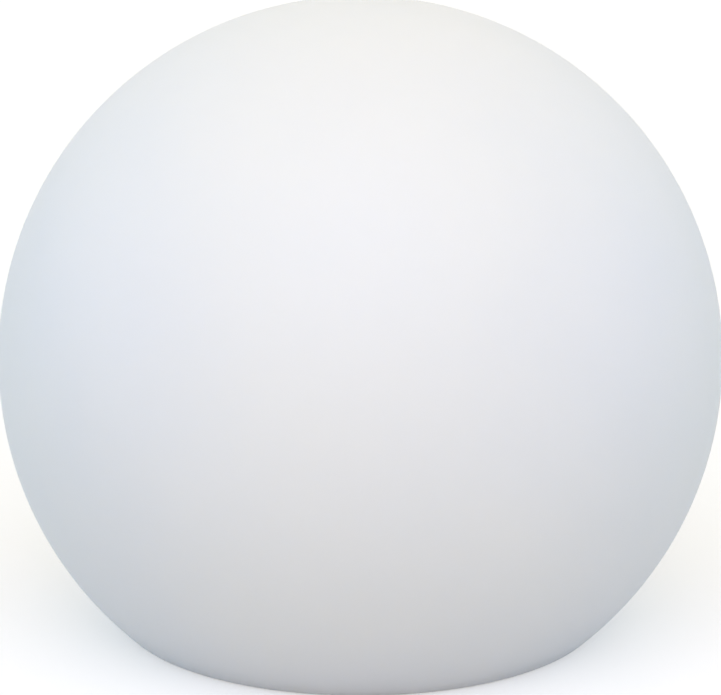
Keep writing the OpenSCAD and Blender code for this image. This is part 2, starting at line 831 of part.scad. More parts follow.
module control_board() {
  color("darkgreen") translate([0, 0, control_z0]) difference() {
    cylinder(r = control_r, h = board_t);
    translate([-notch_x, notch_y, -1]) cube([2 * notch_x, control_r, board_t + 2]);
    for (x = [-1, 1], y = [-1, 1]) translate([x * board_post_x, y * board_post_y, -1])
      cylinder(d = small_screw_d + 2 * slide_gap, h = board_t + 2);
  }
}

module board_screws() {
  color("silver") for (x = [-1, 1], y = [-1, 1])
    translate([x * board_post_x, y * board_post_y, control_z1]) rotate([180, 0, 0])
      pan_screw(small_screw_d, board_t + board_grip, small_screw_d * 2, board_head_h);
}

// A chip with two rows of legs
module chip(w, l, h, legs) {
  lift = 0.15;
  translate([-w / 2, -l / 2, lift]) cube([w, l, h]);
  for (side = [-1, 1], i = [0:legs - 1])
    translate([side * (w / 2 + 0.4) - 0.5, (i - (legs - 1) / 2) * 1.27 - 0.2, 0])
      cube([1, 0.4, lift + h / 2]);
}

module charge_chip() {
  color("#222222") translate([charge_chip_x, charge_chip_y, control_z1])
    chip(chip_w, charge_chip_l, chip_h, 4);
}

module control_chip() {
  color("#222222") translate([control_chip_x, control_chip_y, control_z1])
    chip(chip_w, control_chip_l, chip_h, 7);
}

module charge_inductor() {
  plate = 0.8;
  color("dimgray") translate([inductor_x, inductor_y, control_z1]) {
    cylinder(r = inductor_r, h = plate);
    cylinder(r = inductor_r * 0.65, h = inductor_h - plate / 2);
    translate([0, 0, inductor_h - plate]) cylinder(r = inductor_r, h = plate);
  }
}

module capacitors() {
  color("navy") for (i = [0, 1]) translate([capacitor_x + i * capacitor_pitch, capacitor_y, control_z1]) {
    cylinder(r = capacitor_r, h = 0.8);
    cylinder(r = capacitor_r - 0.3, h = capacitor_h);
  }
}

module lead_sockets() {
  color("ivory") for (x = [panel_socket_x, battery_socket_x, switch_socket_x, led_socket_x])
    translate([x - socket_w / 2, socket_y - socket_l / 2, control_z1]) cube([socket_w, socket_l, socket_h]);
}

// Lights

led_turn = 15;

module led_board() {
  color("white") translate([0, 0, led_z0]) difference() {
    cylinder(r = led_board_r, h = board_t);
    translate([panel_socket_x, socket_y, -1]) cylinder(r = panel_hole_r, h = board_t + 2);
    at_led_screws() translate([0, 0, -1]) cylinder(d = small_screw_d + 2 * slide_gap, h = board_t + 2);
  }
}

module led_packages() {
  color("khaki") on_circle(led_n, led_ring_r, led_turn)
    translate([-led_side / 2, -led_side / 2, led_z1]) cube([led_side, led_side, led_h]);
}

module reflector_ring() {
  window_r = norm([led_side, led_side]) / 2 + 0.3;
  color("white") translate([0, 0, led_z1]) difference() {
    washer(led_board_r, panel_r + running_gap, reflector_t);
    on_circle(led_n, led_ring_r, led_turn) translate([0, 0, -1]) cylinder(r = window_r, h = reflector_t + 2);
    at_led_screws() {
      translate([0, 0, -1]) cylinder(d = small_screw_d + 2 * slide_gap, h = reflector_t + 2);
      translate([0, 0, reflector_seat]) cylinder(d = small_screw_d * 2.2, h = reflector_t);
    }
  }
}

module led_board_screws() {
  color("silver") at_led_screws() translate([0, 0, led_z1 + reflector_seat]) rotate([180, 0, 0])
    pan_screw(small_screw_d, board_t + reflector_seat + led_grip, small_screw_d * 2, led_head_h);
}

// Solar panel

backing_t = 1.2;
solar_t = 0.3;
ribbon_t = 0.15;
function solar_x(i) = (i - (solar_cols - 1) / 2) * (solar_w + solar_gap);
function solar_y(j) = (j - 0.5) * (solar_l + solar_gap);

module panel_backing() {
  color("midnightblue") translate([0, 0, led_z1]) cylinder(r = panel_r, h = backing_t);
}

module solar_cells() {
  color("#182848") for (i = [0:solar_cols - 1], j = [0, 1])
    translate([solar_x(i) - solar_w / 2, solar_y(j) - solar_l / 2, led_z1 + backing_t])
      cube([solar_w, solar_l, solar_t]);
}

module cell_ribbons() {
  ribbon_w = 1;
  color("silver") for (i = [0:solar_cols - 1])
    translate([solar_x(i) - ribbon_w / 2, -solar_l, led_z1 + backing_t + solar_t])
      cube([ribbon_w, 2 * solar_l, ribbon_t]);
}

module panel_window() {
  color([0.8, 0.9, 1, 0.4]) translate([0, 0, led_z1 + backing_t + solar_t + ribbon_t])
    cylinder(r = panel_r, h = window_t);
}

// Lens

module lens_gasket() {
  color("dimgray") translate([0, 0, cup_z1]) washer(lens_r, seat_r + 0.3, gasket_t);
}

// A thin dome whose rim has radius rim_r at z = 0 and whose top is at rise
module dome(rim_r, rise, thickness) {
  ball_r = (rim_r * rim_r + rise * rise) / (2 * rise);
  intersection() {
    difference() {
      translate([0, 0, rise - ball_r]) sphere(r = ball_r, $fn = 240);
      translate([0, 0, rise - ball_r]) sphere(r = ball_r - thickness, $fn = 240);
    }
    translate([0, 0, -thickness]) cylinder(r = rim_r - 1, h = rise + thickness + 1);
  }
}

module lens_dome() {
  color([0.9, 0.95, 1, 0.5]) {
    translate([0, 0, lens_z0]) washer(lens_r, lens_open_r - 2, lens_t);
    translate([0, 0, lens_z1]) dome(lens_open_r, dome_rise, lens_t);
  }
}

module lens_retainer() {
  color("gainsboro") difference() {
    union() {
      translate([0, 0, cup_z1]) washer(cup_r, lens_r + piston_gap, lens_z1 + retainer_t / 2 - cup_z1);
      translate([0, 0, lens_z1])
        soft_washer(cup_r, lens_open_r, retainer_t, out_high = edge_round, in_high = edge_round / 2);
    }
    on_circle(retainer_screw_n, retainer_screw_r) {
      translate([0, 0, cup_z1 - 1]) cylinder(d = small_screw_d + 2 * slide_gap, h = retainer_z1 - cup_z1 + 2);
      translate([0, 0, retainer_z1 - retainer_sink]) cylinder(d = small_screw_d * 1.9, h = retainer_sink + 1);
    }
  }
}

module retainer_screws() {
  color("silver") on_circle(retainer_screw_n, retainer_screw_r)
    translate([0, 0, retainer_z1 - retainer_sink]) rotate([180, 0, 0])
      pan_screw(small_screw_d, retainer_screw_l, small_screw_d * 1.7, retainer_head_h);
}

// Leads

module battery_leads() {
  socket_face = socket_y + socket_l / 2;
  lead_z = control_z1 + socket_h / 2;
  for (side = [-1, 1]) {
    x = battery_socket_x + side;
    color(side > 0 ? "red" : "black") lead([
      [x, holder_y, cell_z + 3], [x, slot_y, cell_z + 3], [x, slot_y, lead_z], [x, socket_face, lead_z]
    ]);
  }
}

module switch_leads() {
  socket_face = socket_y + socket_l / 2;
  lead_z = control_z1 + socket_h / 2;
  for (side = [-1, 1]) {
    x = switch_socket_x + side;
    color("gray") lead([
      [x, slot_y, switch_board_z0 + board_t], [x, slot_y, lead_z], [x, socket_face, lead_z]
    ]);
  }
}

// Two leads that rise from a socket to top_z
module up_leads(socket_x, top_z, tone) {
  socket_top = control_z1 + socket_h;
  for (side = [-1, 1]) color(side > 0 ? tone : "black") translate([socket_x + side, socket_y, socket_top])
    cylinder(r = lead_r, h = top_z - socket_top, $fn = 24);
}

module led_leads() {
  up_leads(led_socket_x, led_z0, "yellow");
}

module panel_leads() {
  up_leads(panel_socket_x, led_z1, "red");
}

// Lock ring

// A half-round rib that lies along the radius, with round ends
module finger_rib() {
  inner = ring_step_r + grip_h + 1;
  outer = ring_r + hand_w - grip_h - 1;
  translate([0, 0, ring_z0]) {
    translate([inner, 0, 0]) rotate([0, 90, 0]) cylinder(r = grip_h, h = outer - inner, $fn = 32);
    for (r = [inner, outer]) translate([r, 0, 0]) sphere(r = grip_h, $fn = 32);
  }
}

module lock_ring() {
  step_z = cover_z0 + rim_t + face_gap;
  color("slategray") difference() {
    union() {
      translate([0, 0, ring_z0 + hand_t / 2]) washer(ring_r, ring_in_r, ring_z1 - ring_z0 - hand_t / 2);
      translate([0, 0, ring_z0]) soft_washer(ring_r + hand_w, ring_in_r, hand_t,
        out_low = edge_round, out_high = edge_round / 2);
      for (i = [0:lug_n - 1]) rotate([0, 0, i * 360 / lug_n])
        translate([0, 0, lug_z0]) ring_sector(lug_r, ring_r - 1, lug_t, lug_angle);
      for (i = [0:grip_n - 1]) rotate([0, 0, (i + 0.5) * 360 / grip_n]) finger_rib();
    }
    translate([0, 0, ring_z0 - 1]) cylinder(r = ring_step_r, h = step_z - ring_z0 + 1);
    translate([0, 0, ring_z0 - 1])
      cylinder(r1 = ring_step_r + edge_round + 1, r2 = ring_step_r - eps, h = edge_round + 1);
    rotate([0, 0, -mark_turn]) translate([ring_r + hand_w / 2, 0, ring_z0 - 1])
      cylinder(r = mark_r, h = mark_depth + 1);
  }
}

// Mooring bail

module mooring_bail() {
  pin_in = ear_x - 0.4;
  color("silver") translate([0, 0, bail_z]) {
    for (x = [-1, 1]) {
      translate([x > 0 ? pin_in : -bail_x, 0, 0]) rotate([0, 90, 0])
        cylinder(r = bail_r, h = bail_x - pin_in);
      translate([x * bail_x, 0, 0]) sphere(r = bail_r, $fn = 48);
      translate([x * bail_x, 0, 0]) rotate([90, 0, 0]) cylinder(r = bail_r, h = bail_leg);
    }
    translate([0, -bail_leg, 0]) rotate([0, 0, 180]) rotate_extrude(angle = 180)
      translate([bail_x, 0]) circle(r = bail_r, $fn = 48);
  }
}

globe_shell();
collar_gasket();
neck_collar();
collar_screws();
module_cup();
deck_plate();
light_ring();
barrel_o_rings();
base_cover();
cover_gasket();
cover_screws();
ballast_ring();
battery_holder();
battery_cell(0);  // battery_cell_1
battery_cell(1);  // battery_cell_2
battery_cell(2);  // battery_cell_3
cell_springs();
cell_contacts();
holder_screws();
switch_board();
switch_body();
switch_screws();
control_board();
board_screws();
charge_chip();
control_chip();
charge_inductor();
capacitors();
lead_sockets();
led_board();
led_packages();
reflector_ring();
led_board_screws();
panel_backing();
solar_cells();
cell_ribbons();
panel_window();
lens_gasket();
lens_dome();
lens_retainer();
retainer_screws();
battery_leads();
switch_leads();
led_leads();
panel_leads();
lock_ring();
button_cap();
button_o_ring();
switch_plunger();
mooring_bail();
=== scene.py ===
"""A solar floating light: a milky globe that floats or stands on its flat base, with a sealed
light module held in its neck. Shapes are worked out in millimetres and stored in metres."""
import json
import math
import bpy
import numpy as np
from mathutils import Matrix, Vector

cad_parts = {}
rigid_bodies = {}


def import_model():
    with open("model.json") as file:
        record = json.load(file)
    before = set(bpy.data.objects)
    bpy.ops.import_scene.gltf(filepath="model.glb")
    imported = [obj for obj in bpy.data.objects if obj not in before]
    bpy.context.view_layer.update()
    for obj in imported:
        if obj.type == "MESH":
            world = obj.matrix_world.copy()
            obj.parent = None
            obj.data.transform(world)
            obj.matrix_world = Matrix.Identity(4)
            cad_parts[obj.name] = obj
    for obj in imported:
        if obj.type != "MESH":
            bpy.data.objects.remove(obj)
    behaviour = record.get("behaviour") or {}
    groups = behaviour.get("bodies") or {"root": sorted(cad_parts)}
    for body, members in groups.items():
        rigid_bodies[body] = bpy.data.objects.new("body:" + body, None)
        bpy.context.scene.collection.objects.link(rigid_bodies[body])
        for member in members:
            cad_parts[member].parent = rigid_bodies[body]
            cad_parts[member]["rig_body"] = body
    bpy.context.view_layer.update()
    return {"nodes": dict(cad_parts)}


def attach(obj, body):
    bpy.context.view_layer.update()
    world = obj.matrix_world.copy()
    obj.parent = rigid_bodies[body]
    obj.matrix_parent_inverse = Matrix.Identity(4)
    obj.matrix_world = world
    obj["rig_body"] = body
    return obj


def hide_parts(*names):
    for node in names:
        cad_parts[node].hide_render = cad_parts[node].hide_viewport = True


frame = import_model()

NODES = frame["nodes"]
BODY = {name: node["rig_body"] for name, node in NODES.items()}
MM = 0.001
MICRONS_PER_MM = 1000
SMOOTH_BELOW = 38  # degrees: a sharper edge than this stays an edge

# The globe, in millimetres, as the frame has it
GLOBE_R = 150
FLAT_R = 99
CENTRE_H = math.sqrt(GLOBE_R ** 2 - FLAT_R ** 2)
WALL = 3
FOOT_ROUND, LIP_ROUND = 6, 2.5
RECESS_R, RECESS_H, HOLE_R = 80, 10, 63
BOSS_R, BOSS_LOW, BOSS_TOP = 5, 11.6, 21.8


# Shapes: each returns its points, in millimetres, and its faces

def rounded(corners, radii, steps=5, closed=True):
    """A path with its corners turned into arcs: an arc's centre lies on the corner's bisector at
    radius / sin(half the corner's angle), and the arc runs between the two points of tangency."""
    corners = [np.array(c, float) for c in corners]
    path = []
    for i, (corner, radius) in enumerate(zip(corners, radii)):
        if radius == 0 or (not closed and i in (0, len(corners) - 1)):
            path.append(corner[None])
            continue
        back = corners[i - 1] - corner
        on = corners[(i + 1) % len(corners)] - corner
        back, on = back / np.linalg.norm(back), on / np.linalg.norm(on)
        half = math.acos(np.clip(back @ on, -1, 1)) / 2
        centre = corner + (back + on) / np.linalg.norm(back + on) * radius / math.sin(half)
        first = (corner + back * radius / math.tan(half) - centre) / radius
        inward = (corner - centre) / np.linalg.norm(corner - centre)
        across = inward - (inward @ first) * first
        across /= np.linalg.norm(across)
        turn = np.linspace(0, math.pi - 2 * half, steps)[:, None]
        path.append(centre + radius * (np.cos(turn) * first + np.sin(turn) * across))
    return np.vstack(path)


def net(points, ends=None):
    """Faces over a grid of points whose columns run round. The rows close on themselves, or each
    end row closes in a fan to its end point. The faces are turned over if the volume that they
    enclose, the sum of each face's tetrahedra to the origin, comes out negative."""
    rows, cols = points.shape[:2]
    here = np.arange(rows * cols).reshape(rows, cols)
    beside = np.roll(here, -1, axis=1)
    verts = points.reshape(-1, 3)
    if ends is None:
        quads = np.stack([here, beside, np.roll(beside, -1, 0), np.roll(here, -1, 0)], -1).reshape(-1, 4)
        fans = np.zeros((0, 3), int)
    else:
        quads = np.stack([here[:-1], beside[:-1], beside[1:], here[1:]], -1).reshape(-1, 4)
        a, b = np.full(cols, len(verts)), np.full(cols, len(verts) + 1)
        fans = np.vstack([np.stack([beside[0], here[0], a], -1), np.stack([here[-1], beside[-1], b], -1)])
        verts = np.vstack([verts, ends])
    tris = np.vstack([quads[:, :3], quads[:, [0, 2, 3]], fans])
    a, b, c = verts[tris[:, 0]], verts[tris[:, 1]], verts[tris[:, 2]]
    if np.einsum("ij,ij->", a, np.cross(b, c)) < 0:
        quads, fans = quads[:, ::-1], fans[:, ::-1]
    return verts, quads.tolist() + fans.tolist()


def turned(profile, around=128, centre=(0, 0)):
    """A surface of revolution: each (r, z) of the profile goes round the upright axis through
    centre in equal steps. A profile that starts and ends on the axis is closed at its poles."""
    profile = np.array(profile, float)
    ends = None
    if profile[0, 0] < 1e-6 and profile[-1, 0] < 1e-6:
        ends = [(*centre, profile[0, 1]), (*centre, profile[-1, 1])]
        profile = profile[1:-1]
    turn = np.arange(around) * 2 * np.pi / around
    r, z = profile[:, :1], profile[:, 1:]
    grid = np.stack([centre[0] + r * np.cos(turn), centre[1] + r * np.sin(turn), z + 0 * turn], -1)
    return net(grid, ends)


def o_ring(radius, section, z, centre=(0, 0), steps=24):
    """A ring of round section: r = radius + section cos(b), z = z + section sin(b)."""
    b = np.arange(steps) * 2 * np.pi / steps
    return turned(np.stack([radius + section * np.cos(b), z + section * np.sin(b)], -1), 160, centre)


def tube(path, radius, side, sides=16):
    """A round tube along a path: ring k is the circle radius * (cos u * side + sin u * (tangent x
    side)) about point k, with side first made square to the tangent. Its ends are closed flat."""
    path = np.array(path, float)
    tangent = np.gradient(path, axis=0)
    tangent /= np.linalg.norm(tangent, axis=1)[:, None]
    side = np.broadcast_to(np.array(side, float), path.shape)
    side = side - (side * tangent).sum(1)[:, None] * tangent
    side = side / np.linalg.norm(side, axis=1)[:, None]
    other = np.cross(tangent, side)
    u = np.arange(sides) * 2 * np.pi / sides
    radius = np.broadcast_to(radius, len(path))[:, None, None]
    ring = np.cos(u)[None, :, None] * side[:, None] + np.sin(u)[None, :, None] * other[:, None]
    return net(path[:, None] + radius * ring, [path[0], path[-1]])


def strip(path, across, width, thickness):
    """A bent metal strip: at each point of the path a rectangle, width along across and thickness
    along across x tangent."""
    path = np.array(path, float)
    tangent = np.gradient(path, axis=0)
    tangent /= np.linalg.norm(tangent, axis=1)[:, None]
    across = np.array(across, float)
    out = np.cross(across, tangent) * thickness / 2
    wide = np.broadcast_to(across * width / 2, path.shape)
    corners = np.stack([path - wide - out, path + wide - out, path + wide + out, path - wide + out], 1)
    return net(corners, [path[0], path[-1]])


def lofted(rows, around=64, pierced=False):
    """Rounded rectangles one above another. A row (a, b, p, z) is the curve at angle u of
    (a cos u, b sin u) / (|cos u|^p + |sin u|^p)^(1 / p) at height z: an ellipse where p is 2, and a
    rectangle with small corner radii where p is large. The first and last row are closed flat, or
    joined to each other where the shape is pierced."""
    a, b, p, z = np.array(rows, float).T[:, :, None]
    u = (np.arange(around) + 0.5) * 2 * np.pi / around
    reach = (np.abs(np.cos(u)) ** p + np.abs(np.sin(u)) ** p) ** (-1 / p)
    grid = np.stack([a * reach * np.cos(u), b * reach * np.sin(u), z + 0 * u], -1)
    return net(grid, None if pierced else [(0, 0, rows[0][3]), (0, 0, rows[-1][3])])


# A screw's thread and the taper of its tip, as shares of the shank's width
THREAD_PITCH, THREAD_DEPTH, TIP_TAPER = 0.38, 0.15, 0.3
# Its recess's depth and its face's rounded edge, as shares of the head's height
RECESS_DEEP, HEAD_ROUND = 0.6, 0.45
# The recess's cross, as shares of the head's width: half the width of an arm and how far it
# reaches, each with the slope beside it
CROSS_HALF, CROSS_SLOPE, CROSS_REACH, CROSS_END = 0.095, 0.05, 0.32, 0.06
# How many rings make up the head's face, a turn of the thread and the tip
FACE_ROWS, ROWS_A_TURN, TIP_ROWS = 18, 7, 4


def screw(seat, way, shank, head, head_h, length, turn, around=48):
    """A pan-head screw. Its rings run from the middle of the head's face over the rounded edge, in
    along the seat and down the shank to the tip. The face sinks by depth * s(|x| or |y|, the
    smaller, against the cross's half width) * s(the larger, against its reach), where s falls
    smoothly from 1 to 0. The thread takes relief * (1 - cos(2 pi z / pitch - u)) / 2 off the shank
    at angle u."""
    pitch, relief = THREAD_PITCH * shank, THREAD_DEPTH * shank
    depth, edge = RECESS_DEEP * head_h, HEAD_ROUND * head_h
    face = np.linspace(0.02 * head, head / 2 - edge, FACE_ROWS)
    arc = np.linspace(0, math.pi / 2, 6)[1:]
    down = np.arange(pitch / ROWS_A_TURN, length, pitch / ROWS_A_TURN)
    tip = np.linspace(0, 1, TIP_ROWS)
    r = np.concatenate([face, head / 2 - edge + edge * np.sin(arc), [head / 2, shank / 2],
                        shank / 2 + 0 * down, shank * (0.5 - TIP_TAPER * tip)])
    z = np.concatenate([face * 0 - head_h, -head_h + edge - edge * np.cos(arc), [0, 0],
                        down, length + tip * shank / 2])
    u = np.arange(around) * 2 * np.pi / around
    row = np.arange(len(r))
    threaded = (row >= len(r) - len(down) - TIP_ROWS) * np.clip(z / pitch, 0, 1)
    cut = relief * (1 - np.cos(2 * np.pi * z[:, None] / pitch - u)) / 2
    wide = r[:, None] - threaded[:, None] * cut
    x, y = wide * np.cos(u), wide * np.sin(u)
    near, far = np.minimum(np.abs(x), np.abs(y)), np.maximum(np.abs(x), np.abs(y))
    arm = np.clip((CROSS_HALF * head - near) / (CROSS_SLOPE * head), 0, 1)
    arm = arm * np.clip((CROSS_REACH * head - far) / (CROSS_END * head), 0, 1)
    on_face = (row < FACE_ROWS)[:, None]
    high = z[:, None] + depth * on_face * arm * arm * (3 - 2 * arm)
    c, s = math.cos(turn), math.sin(turn)
    grid = np.stack([c * x - s * y, way * (s * x + c * y), way * high], -1) + np.array(seat)
    ends = np.array([(0, 0, way * (depth - head_h)), (0, 0, way * (length + shank / 2))])
    return net(grid, ends + np.array(seat))


def gather(shapes):
    """Several closed surfaces as one list of points and faces, each face's numbers moved on by the
    points before it."""
    verts, faces, start = [], [], 0
    for points, polygons in shapes:
        verts.append(points)
        faces += [[i + start for i in polygon] for polygon in polygons]
        start += len(points)
    return np.vstack(verts), faces


def put(shape, at, turn=0.0):
    """A shape turned about its upright axis by an angle in radians, x' = c x - s y and
    y' = s x + c y, and moved to a place."""
    points, faces = shape
    c, s = math.cos(turn), math.sin(turn)
    return points @ np.array([(c, s, 0), (-s, c, 0), (0, 0, 1)]) + np.array(at), faces


def lay(shape, at, way):
    """A shape laid along Y, so that its height z runs to y = -way * z, and moved to a place."""
    points, faces = shape
    return points @ np.array([(1, 0, 0), (0, 0, way), (0, -way, 0)]) + np.array(at), faces


# Pieces and the nodes that they stand for

def joined(node):
    """A node's points in millimetres and its triangles, with its loose triangles joined: corners
    that agree to a micrometre become one point."""
    source = NODES[node].data
    places = np.empty(len(source.vertices) * 3, np.float32)
    source.vertices.foreach_get("co", places)
    tris = np.empty(len(source.polygons) * 3, np.int32)
    source.polygons.foreach_get("vertices", tris)
    places = places.reshape(-1, 3) / MM
    microns = np.round(places * MICRONS_PER_MM).astype(np.int64)
    _, first, same = np.unique(microns, axis=0, return_index=True, return_inverse=True)
    tris = same.reshape(-1)[tris].reshape(-1, 3)
    whole = (tris[:, 0] != tris[:, 1]) & (tris[:, 1] != tris[:, 2]) & (tris[:, 2] != tris[:, 0])
    return places[first], tris[whole]


def solids(node):
    """The lowest and highest corners, in millimetres, of each separate solid in a node, from left
    to right. Each point takes the least number of the points that it shares a triangle with, again
    and again, until every solid has one number."""
    points, tris = joined(node)
    number = np.arange(len(points))
    while True:
        least = number.copy()
        np.minimum.at(least, tris.ravel(), np.repeat(number[tris].min(1), 3))
        least = least[least]
        if (least == number).all():
            break
        number = least
    groups = [points[number == k] for k in np.unique(number)]
    boxes = [(group.min(0), group.max(0)) for group in groups]
    return sorted(boxes, key=lambda box: tuple(np.round(box[0] + box[1], 2)))


def middle(box):
    """The centre of a box: half the sum of its corners."""
    return (box[0] + box[1]) / 2


def piece(name, shape, finish, node, sharp=SMOOTH_BELOW):
    """A piece of the light that stands for a node of the frame: smooth but for edges sharper than
    the given angle in degrees, and riding on the node's body."""
    verts, faces = shape
    mesh = bpy.data.meshes.new(name)
    mesh.from_pydata((np.asarray(verts) * MM).tolist(), [], faces)
    mesh.materials.append(finish)
    mesh.polygons.foreach_set("use_smooth", np.ones(len(mesh.polygons), bool))
    mesh.set_sharp_from_angle(angle=math.radians(sharp))
    thing = bpy.data.objects.new(name, mesh)
    bpy.context.scene.collection.objects.link(thing)
    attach(thing, BODY[node])
    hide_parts(node)


def smoothed(node, finish):
    """The node's own surface with its loose triangles joined, smooth but for its sharp edges."""
    points, tris = joined(node)
    piece(node + "_surface", (points, tris.tolist()), finish, node)


# Each screw of a group is turned on from the one before it by this many radians
NEXT_SCREW = 2.4


def screws(node, finish, shank, head_h, way):
    """A node's screws where the frame has them. Way is 1 where they point up. The head's width and
    the length come from each solid's box."""
    shapes = []
    for k, (low, high) in enumerate(solids(node)):
        seat = low[2] + head_h if way > 0 else high[2] - head_h
        length = high[2] - low[2] - head_h - shank / 2
        x, y, _ = (low + high) / 2
        shapes.append(screw((x, y, seat), way, shank, high[0] - low[0], head_h, length, NEXT_SCREW * k))
    piece(node + "_threaded", gather(shapes), finish, node)


# Finishes

def linear(hex_colour):
    """The linear colour of an sRGB hex value: each channel below 0.04045 is divided by 12.92,
    and any other is moved by 0.055, divided by 1.055 and raised to 2.4."""
    c = np.array([int(hex_colour[i:i + 2], 16) for i in (1, 3, 5)]) / 255
    return (*np.where(c <= 0.04045, c / 12.92, ((c + 0.055) / 1.055) ** 2.4), 1.0)


def add(tree, kind, fields=None, inputs=None):
    """Adds a node with its settings, and fills or links its inputs."""
    node = tree.nodes.new("ShaderNode" + kind)
    for key, value in (fields or {}).items():
        setattr(node, key, value)
    for key, value in (inputs or {}).items():
        if isinstance(value, bpy.types.NodeSocket):
            tree.links.new(value, node.inputs[key])
        else:
            node.inputs[key].default_value = value
    return node


def blank(name):
    """A new material's empty node tree, and where its surface is, from the piece's own origin."""
    material = bpy.data.materials.new(name)
    material.use_nodes = True
    tree = material.node_tree
    tree.nodes.clear()
    return material, tree, add(tree, "TexCoord").outputs["Object"]


def finish_off(tree, tone, rough, height, relief, values):
    """Joins a colour, a roughness and a height to the shader; relief is in millimetres."""
    bump = add(tree, "Bump", None, {"Height": height, "Distance": relief * MM, "Strength": 1.0})
    shader = add(tree, "BsdfPrincipled", None, {
        "Base Color": tone, "Roughness": rough, "Normal": bump.outputs[0], **values})
    add(tree, "OutputMaterial", None, {"Surface": shader.outputs[0]})


def between(tree, fac, tones):
    """The colour (1 - fac) * first + fac * second. The first may be a hex value or another node's
    colour."""
    first = linear(tones[0]) if isinstance(tones[0], str) else tones[0]
    return add(tree, "Mix", {"data_type": "RGBA"}, {0: fac, 6: first, 7: linear(tones[1])}).outputs[2]


def noise(tree, place, size, detail):
    """Noise of a patch size in millimetres, as a number from 0 to 1."""
    return add(tree, "TexNoise", None, {
        "Vector": place, "Scale": 1 / (size * MM), "Detail": detail}).outputs["Fac"]


# Nearly all noise lies between these values
NOISE_LOW, NOISE_HIGH = 0.3, 0.7


def surface(name, tones, patch, grain, relief, gloss, stretch=(1, 1, 1), **values):
    """A finish whose colour drifts between two close tones over patches of a size in millimetres,
    with a fine texture of a grain size and height in millimetres, and a roughness between two
    values that follows the same grain. Both mixes are (noise - low) / (high - low). Stretch draws
    the grain out. Other values are constants on the shader's own sockets."""
    material, tree, place = blank(name)
    drawn = add(tree, "Mapping", None, {"Vector": place, "Scale": stretch}).outputs["Vector"]
    fine = noise(tree, drawn, grain, 2.0)
    drift = add(tree, "MapRange", None, {
        0: noise(tree, place, patch, 3.0), 1: NOISE_LOW, 2: NOISE_HIGH}).outputs[0]
    rough = add(tree, "MapRange", None, {
        0: fine, 1: NOISE_LOW, 2: NOISE_HIGH, 3: gloss[0], 4: gloss[1]}).outputs[0]
    finish_off(tree, between(tree, drift, tones), rough, fine, relief, values)
    return material


def lathed(name, tones, pitch, relief, gloss, **values):
    """A turned metal: fine lines of a pitch in millimetres, which go round the upright axis on its
    flat faces and its sides alike, because they follow the distance from the axis plus the height."""
    material, tree, place = blank(name)
    flat = add(tree, "VectorMath", {"operation": "MULTIPLY"}, {0: place, 1: (1, 1, 0)}).outputs[0]
    out = add(tree, "VectorMath", {"operation": "LENGTH"}, {0: flat}).outputs["Value"]
    high = add(tree, "SeparateXYZ", None, {0: place}).outputs[2]
    reach = add(tree, "Math", {"operation": "ADD"}, {0: out, 1: high}).outputs[0]
    rings = noise(tree, add(tree, "CombineXYZ", None, {0: reach}).outputs[0], pitch, 3.0)
    rough = add(tree, "MapRange", None, {0: rings, 3: gloss[0], 4: gloss[1]}).outputs[0]
    finish_off(tree, between(tree, rings, tones), rough, rings, relief, values)
    return material


# A circuit board's tracks, in millimetres
TRACK_GRID, TRACK_LONG, TRACK_HALF, TRACK_PROUD = 2.6, 7.0, 0.25, 0.03


def solder_mask(name, tones, track_tone, edge_tone, **values):
    """A circuit board: tracks on a grid, laid one way in some patches and the other way in the
    rest, stand a little proud under the lacquer and show through it. The board's cut edge, where
    the surface's normal lies flat, is bare laminate."""
    material, tree, place = blank(name)
    tracks = []
    for turn in (0.0, math.pi / 2):
        drawn = add(tree, "Mapping", None, {"Vector": place, "Rotation": (0, 0, turn)}).outputs["Vector"]
        tracks.append(add(tree, "TexBrick", {"offset": 0.37, "squash": 1.7, "squash_frequency": 3}, {
            "Vector": drawn, "Color1": (0, 0, 0, 1), "Color2": (0, 0, 0, 1), "Mortar": (1, 1, 1, 1),
            "Scale": 1 / MM, "Mortar Size": TRACK_HALF, "Mortar Smooth": 0.2, "Brick Width": TRACK_LONG,
            "Row Height": TRACK_GRID}).outputs["Color"])
    pick = add(tree, "MapRange", None, {0: noise(tree, place, 9, 0.0), 1: 0.49, 2: 0.51}).outputs[0]
    track = add(tree, "Mix", {"data_type": "RGBA"}, {0: pick, 6: tracks[0], 7: tracks[1]}).outputs[2]
    cloud = noise(tree, place, 5, 3.0)
    rough = add(tree, "MapRange", None, {0: cloud, 3: 0.18, 4: 0.32}).outputs[0]
    normal = add(tree, "TexCoord").outputs["Normal"]
    upright = add(tree, "VectorMath", {"operation": "ABSOLUTE"}, {0: normal}).outputs[0]
    face = add(tree, "SeparateXYZ", None, {0: upright}).outputs[2]
    edge = add(tree, "Math", {"operation": "LESS_THAN"}, {0: face, 1: 0.5}).outputs[0]
    lacquer = between(tree, track, (between(tree, cloud, tones), track_tone))
    finish_off(tree, between(tree, edge, (lacquer, edge_tone)), rough, track, TRACK_PROUD, values)
    return material


def fingered_cell(name, tones, finger_tone, pitch, width, proud, **values):
    """A solar cell: dark silicon that drifts in tone, crossed by printed silver fingers. A finger
    shows where the distance along Y, over the pitch, has a remainder under width / pitch."""
    material, tree, place = blank(name)
    y = add(tree, "SeparateXYZ", None, {0: place}).outputs[1]
    steps = add(tree, "Math", {"operation": "DIVIDE"}, {0: y, 1: pitch * MM}).outputs[0]
    left = add(tree, "Math", {"operation": "FRACT"}, {0: steps}).outputs[0]
    finger = add(tree, "Math", {"operation": "LESS_THAN"}, {0: left, 1: width / pitch}).outputs[0]
    rough = add(tree, "MapRange", None, {0: finger, 3: 0.28, 4: 0.45}).outputs[0]
    silicon = between(tree, noise(tree, place, 3, 4.0), tones)
    finish_off(tree, between(tree, finger, (silicon, finger_tone)), rough, finger, proud, values)
    return material


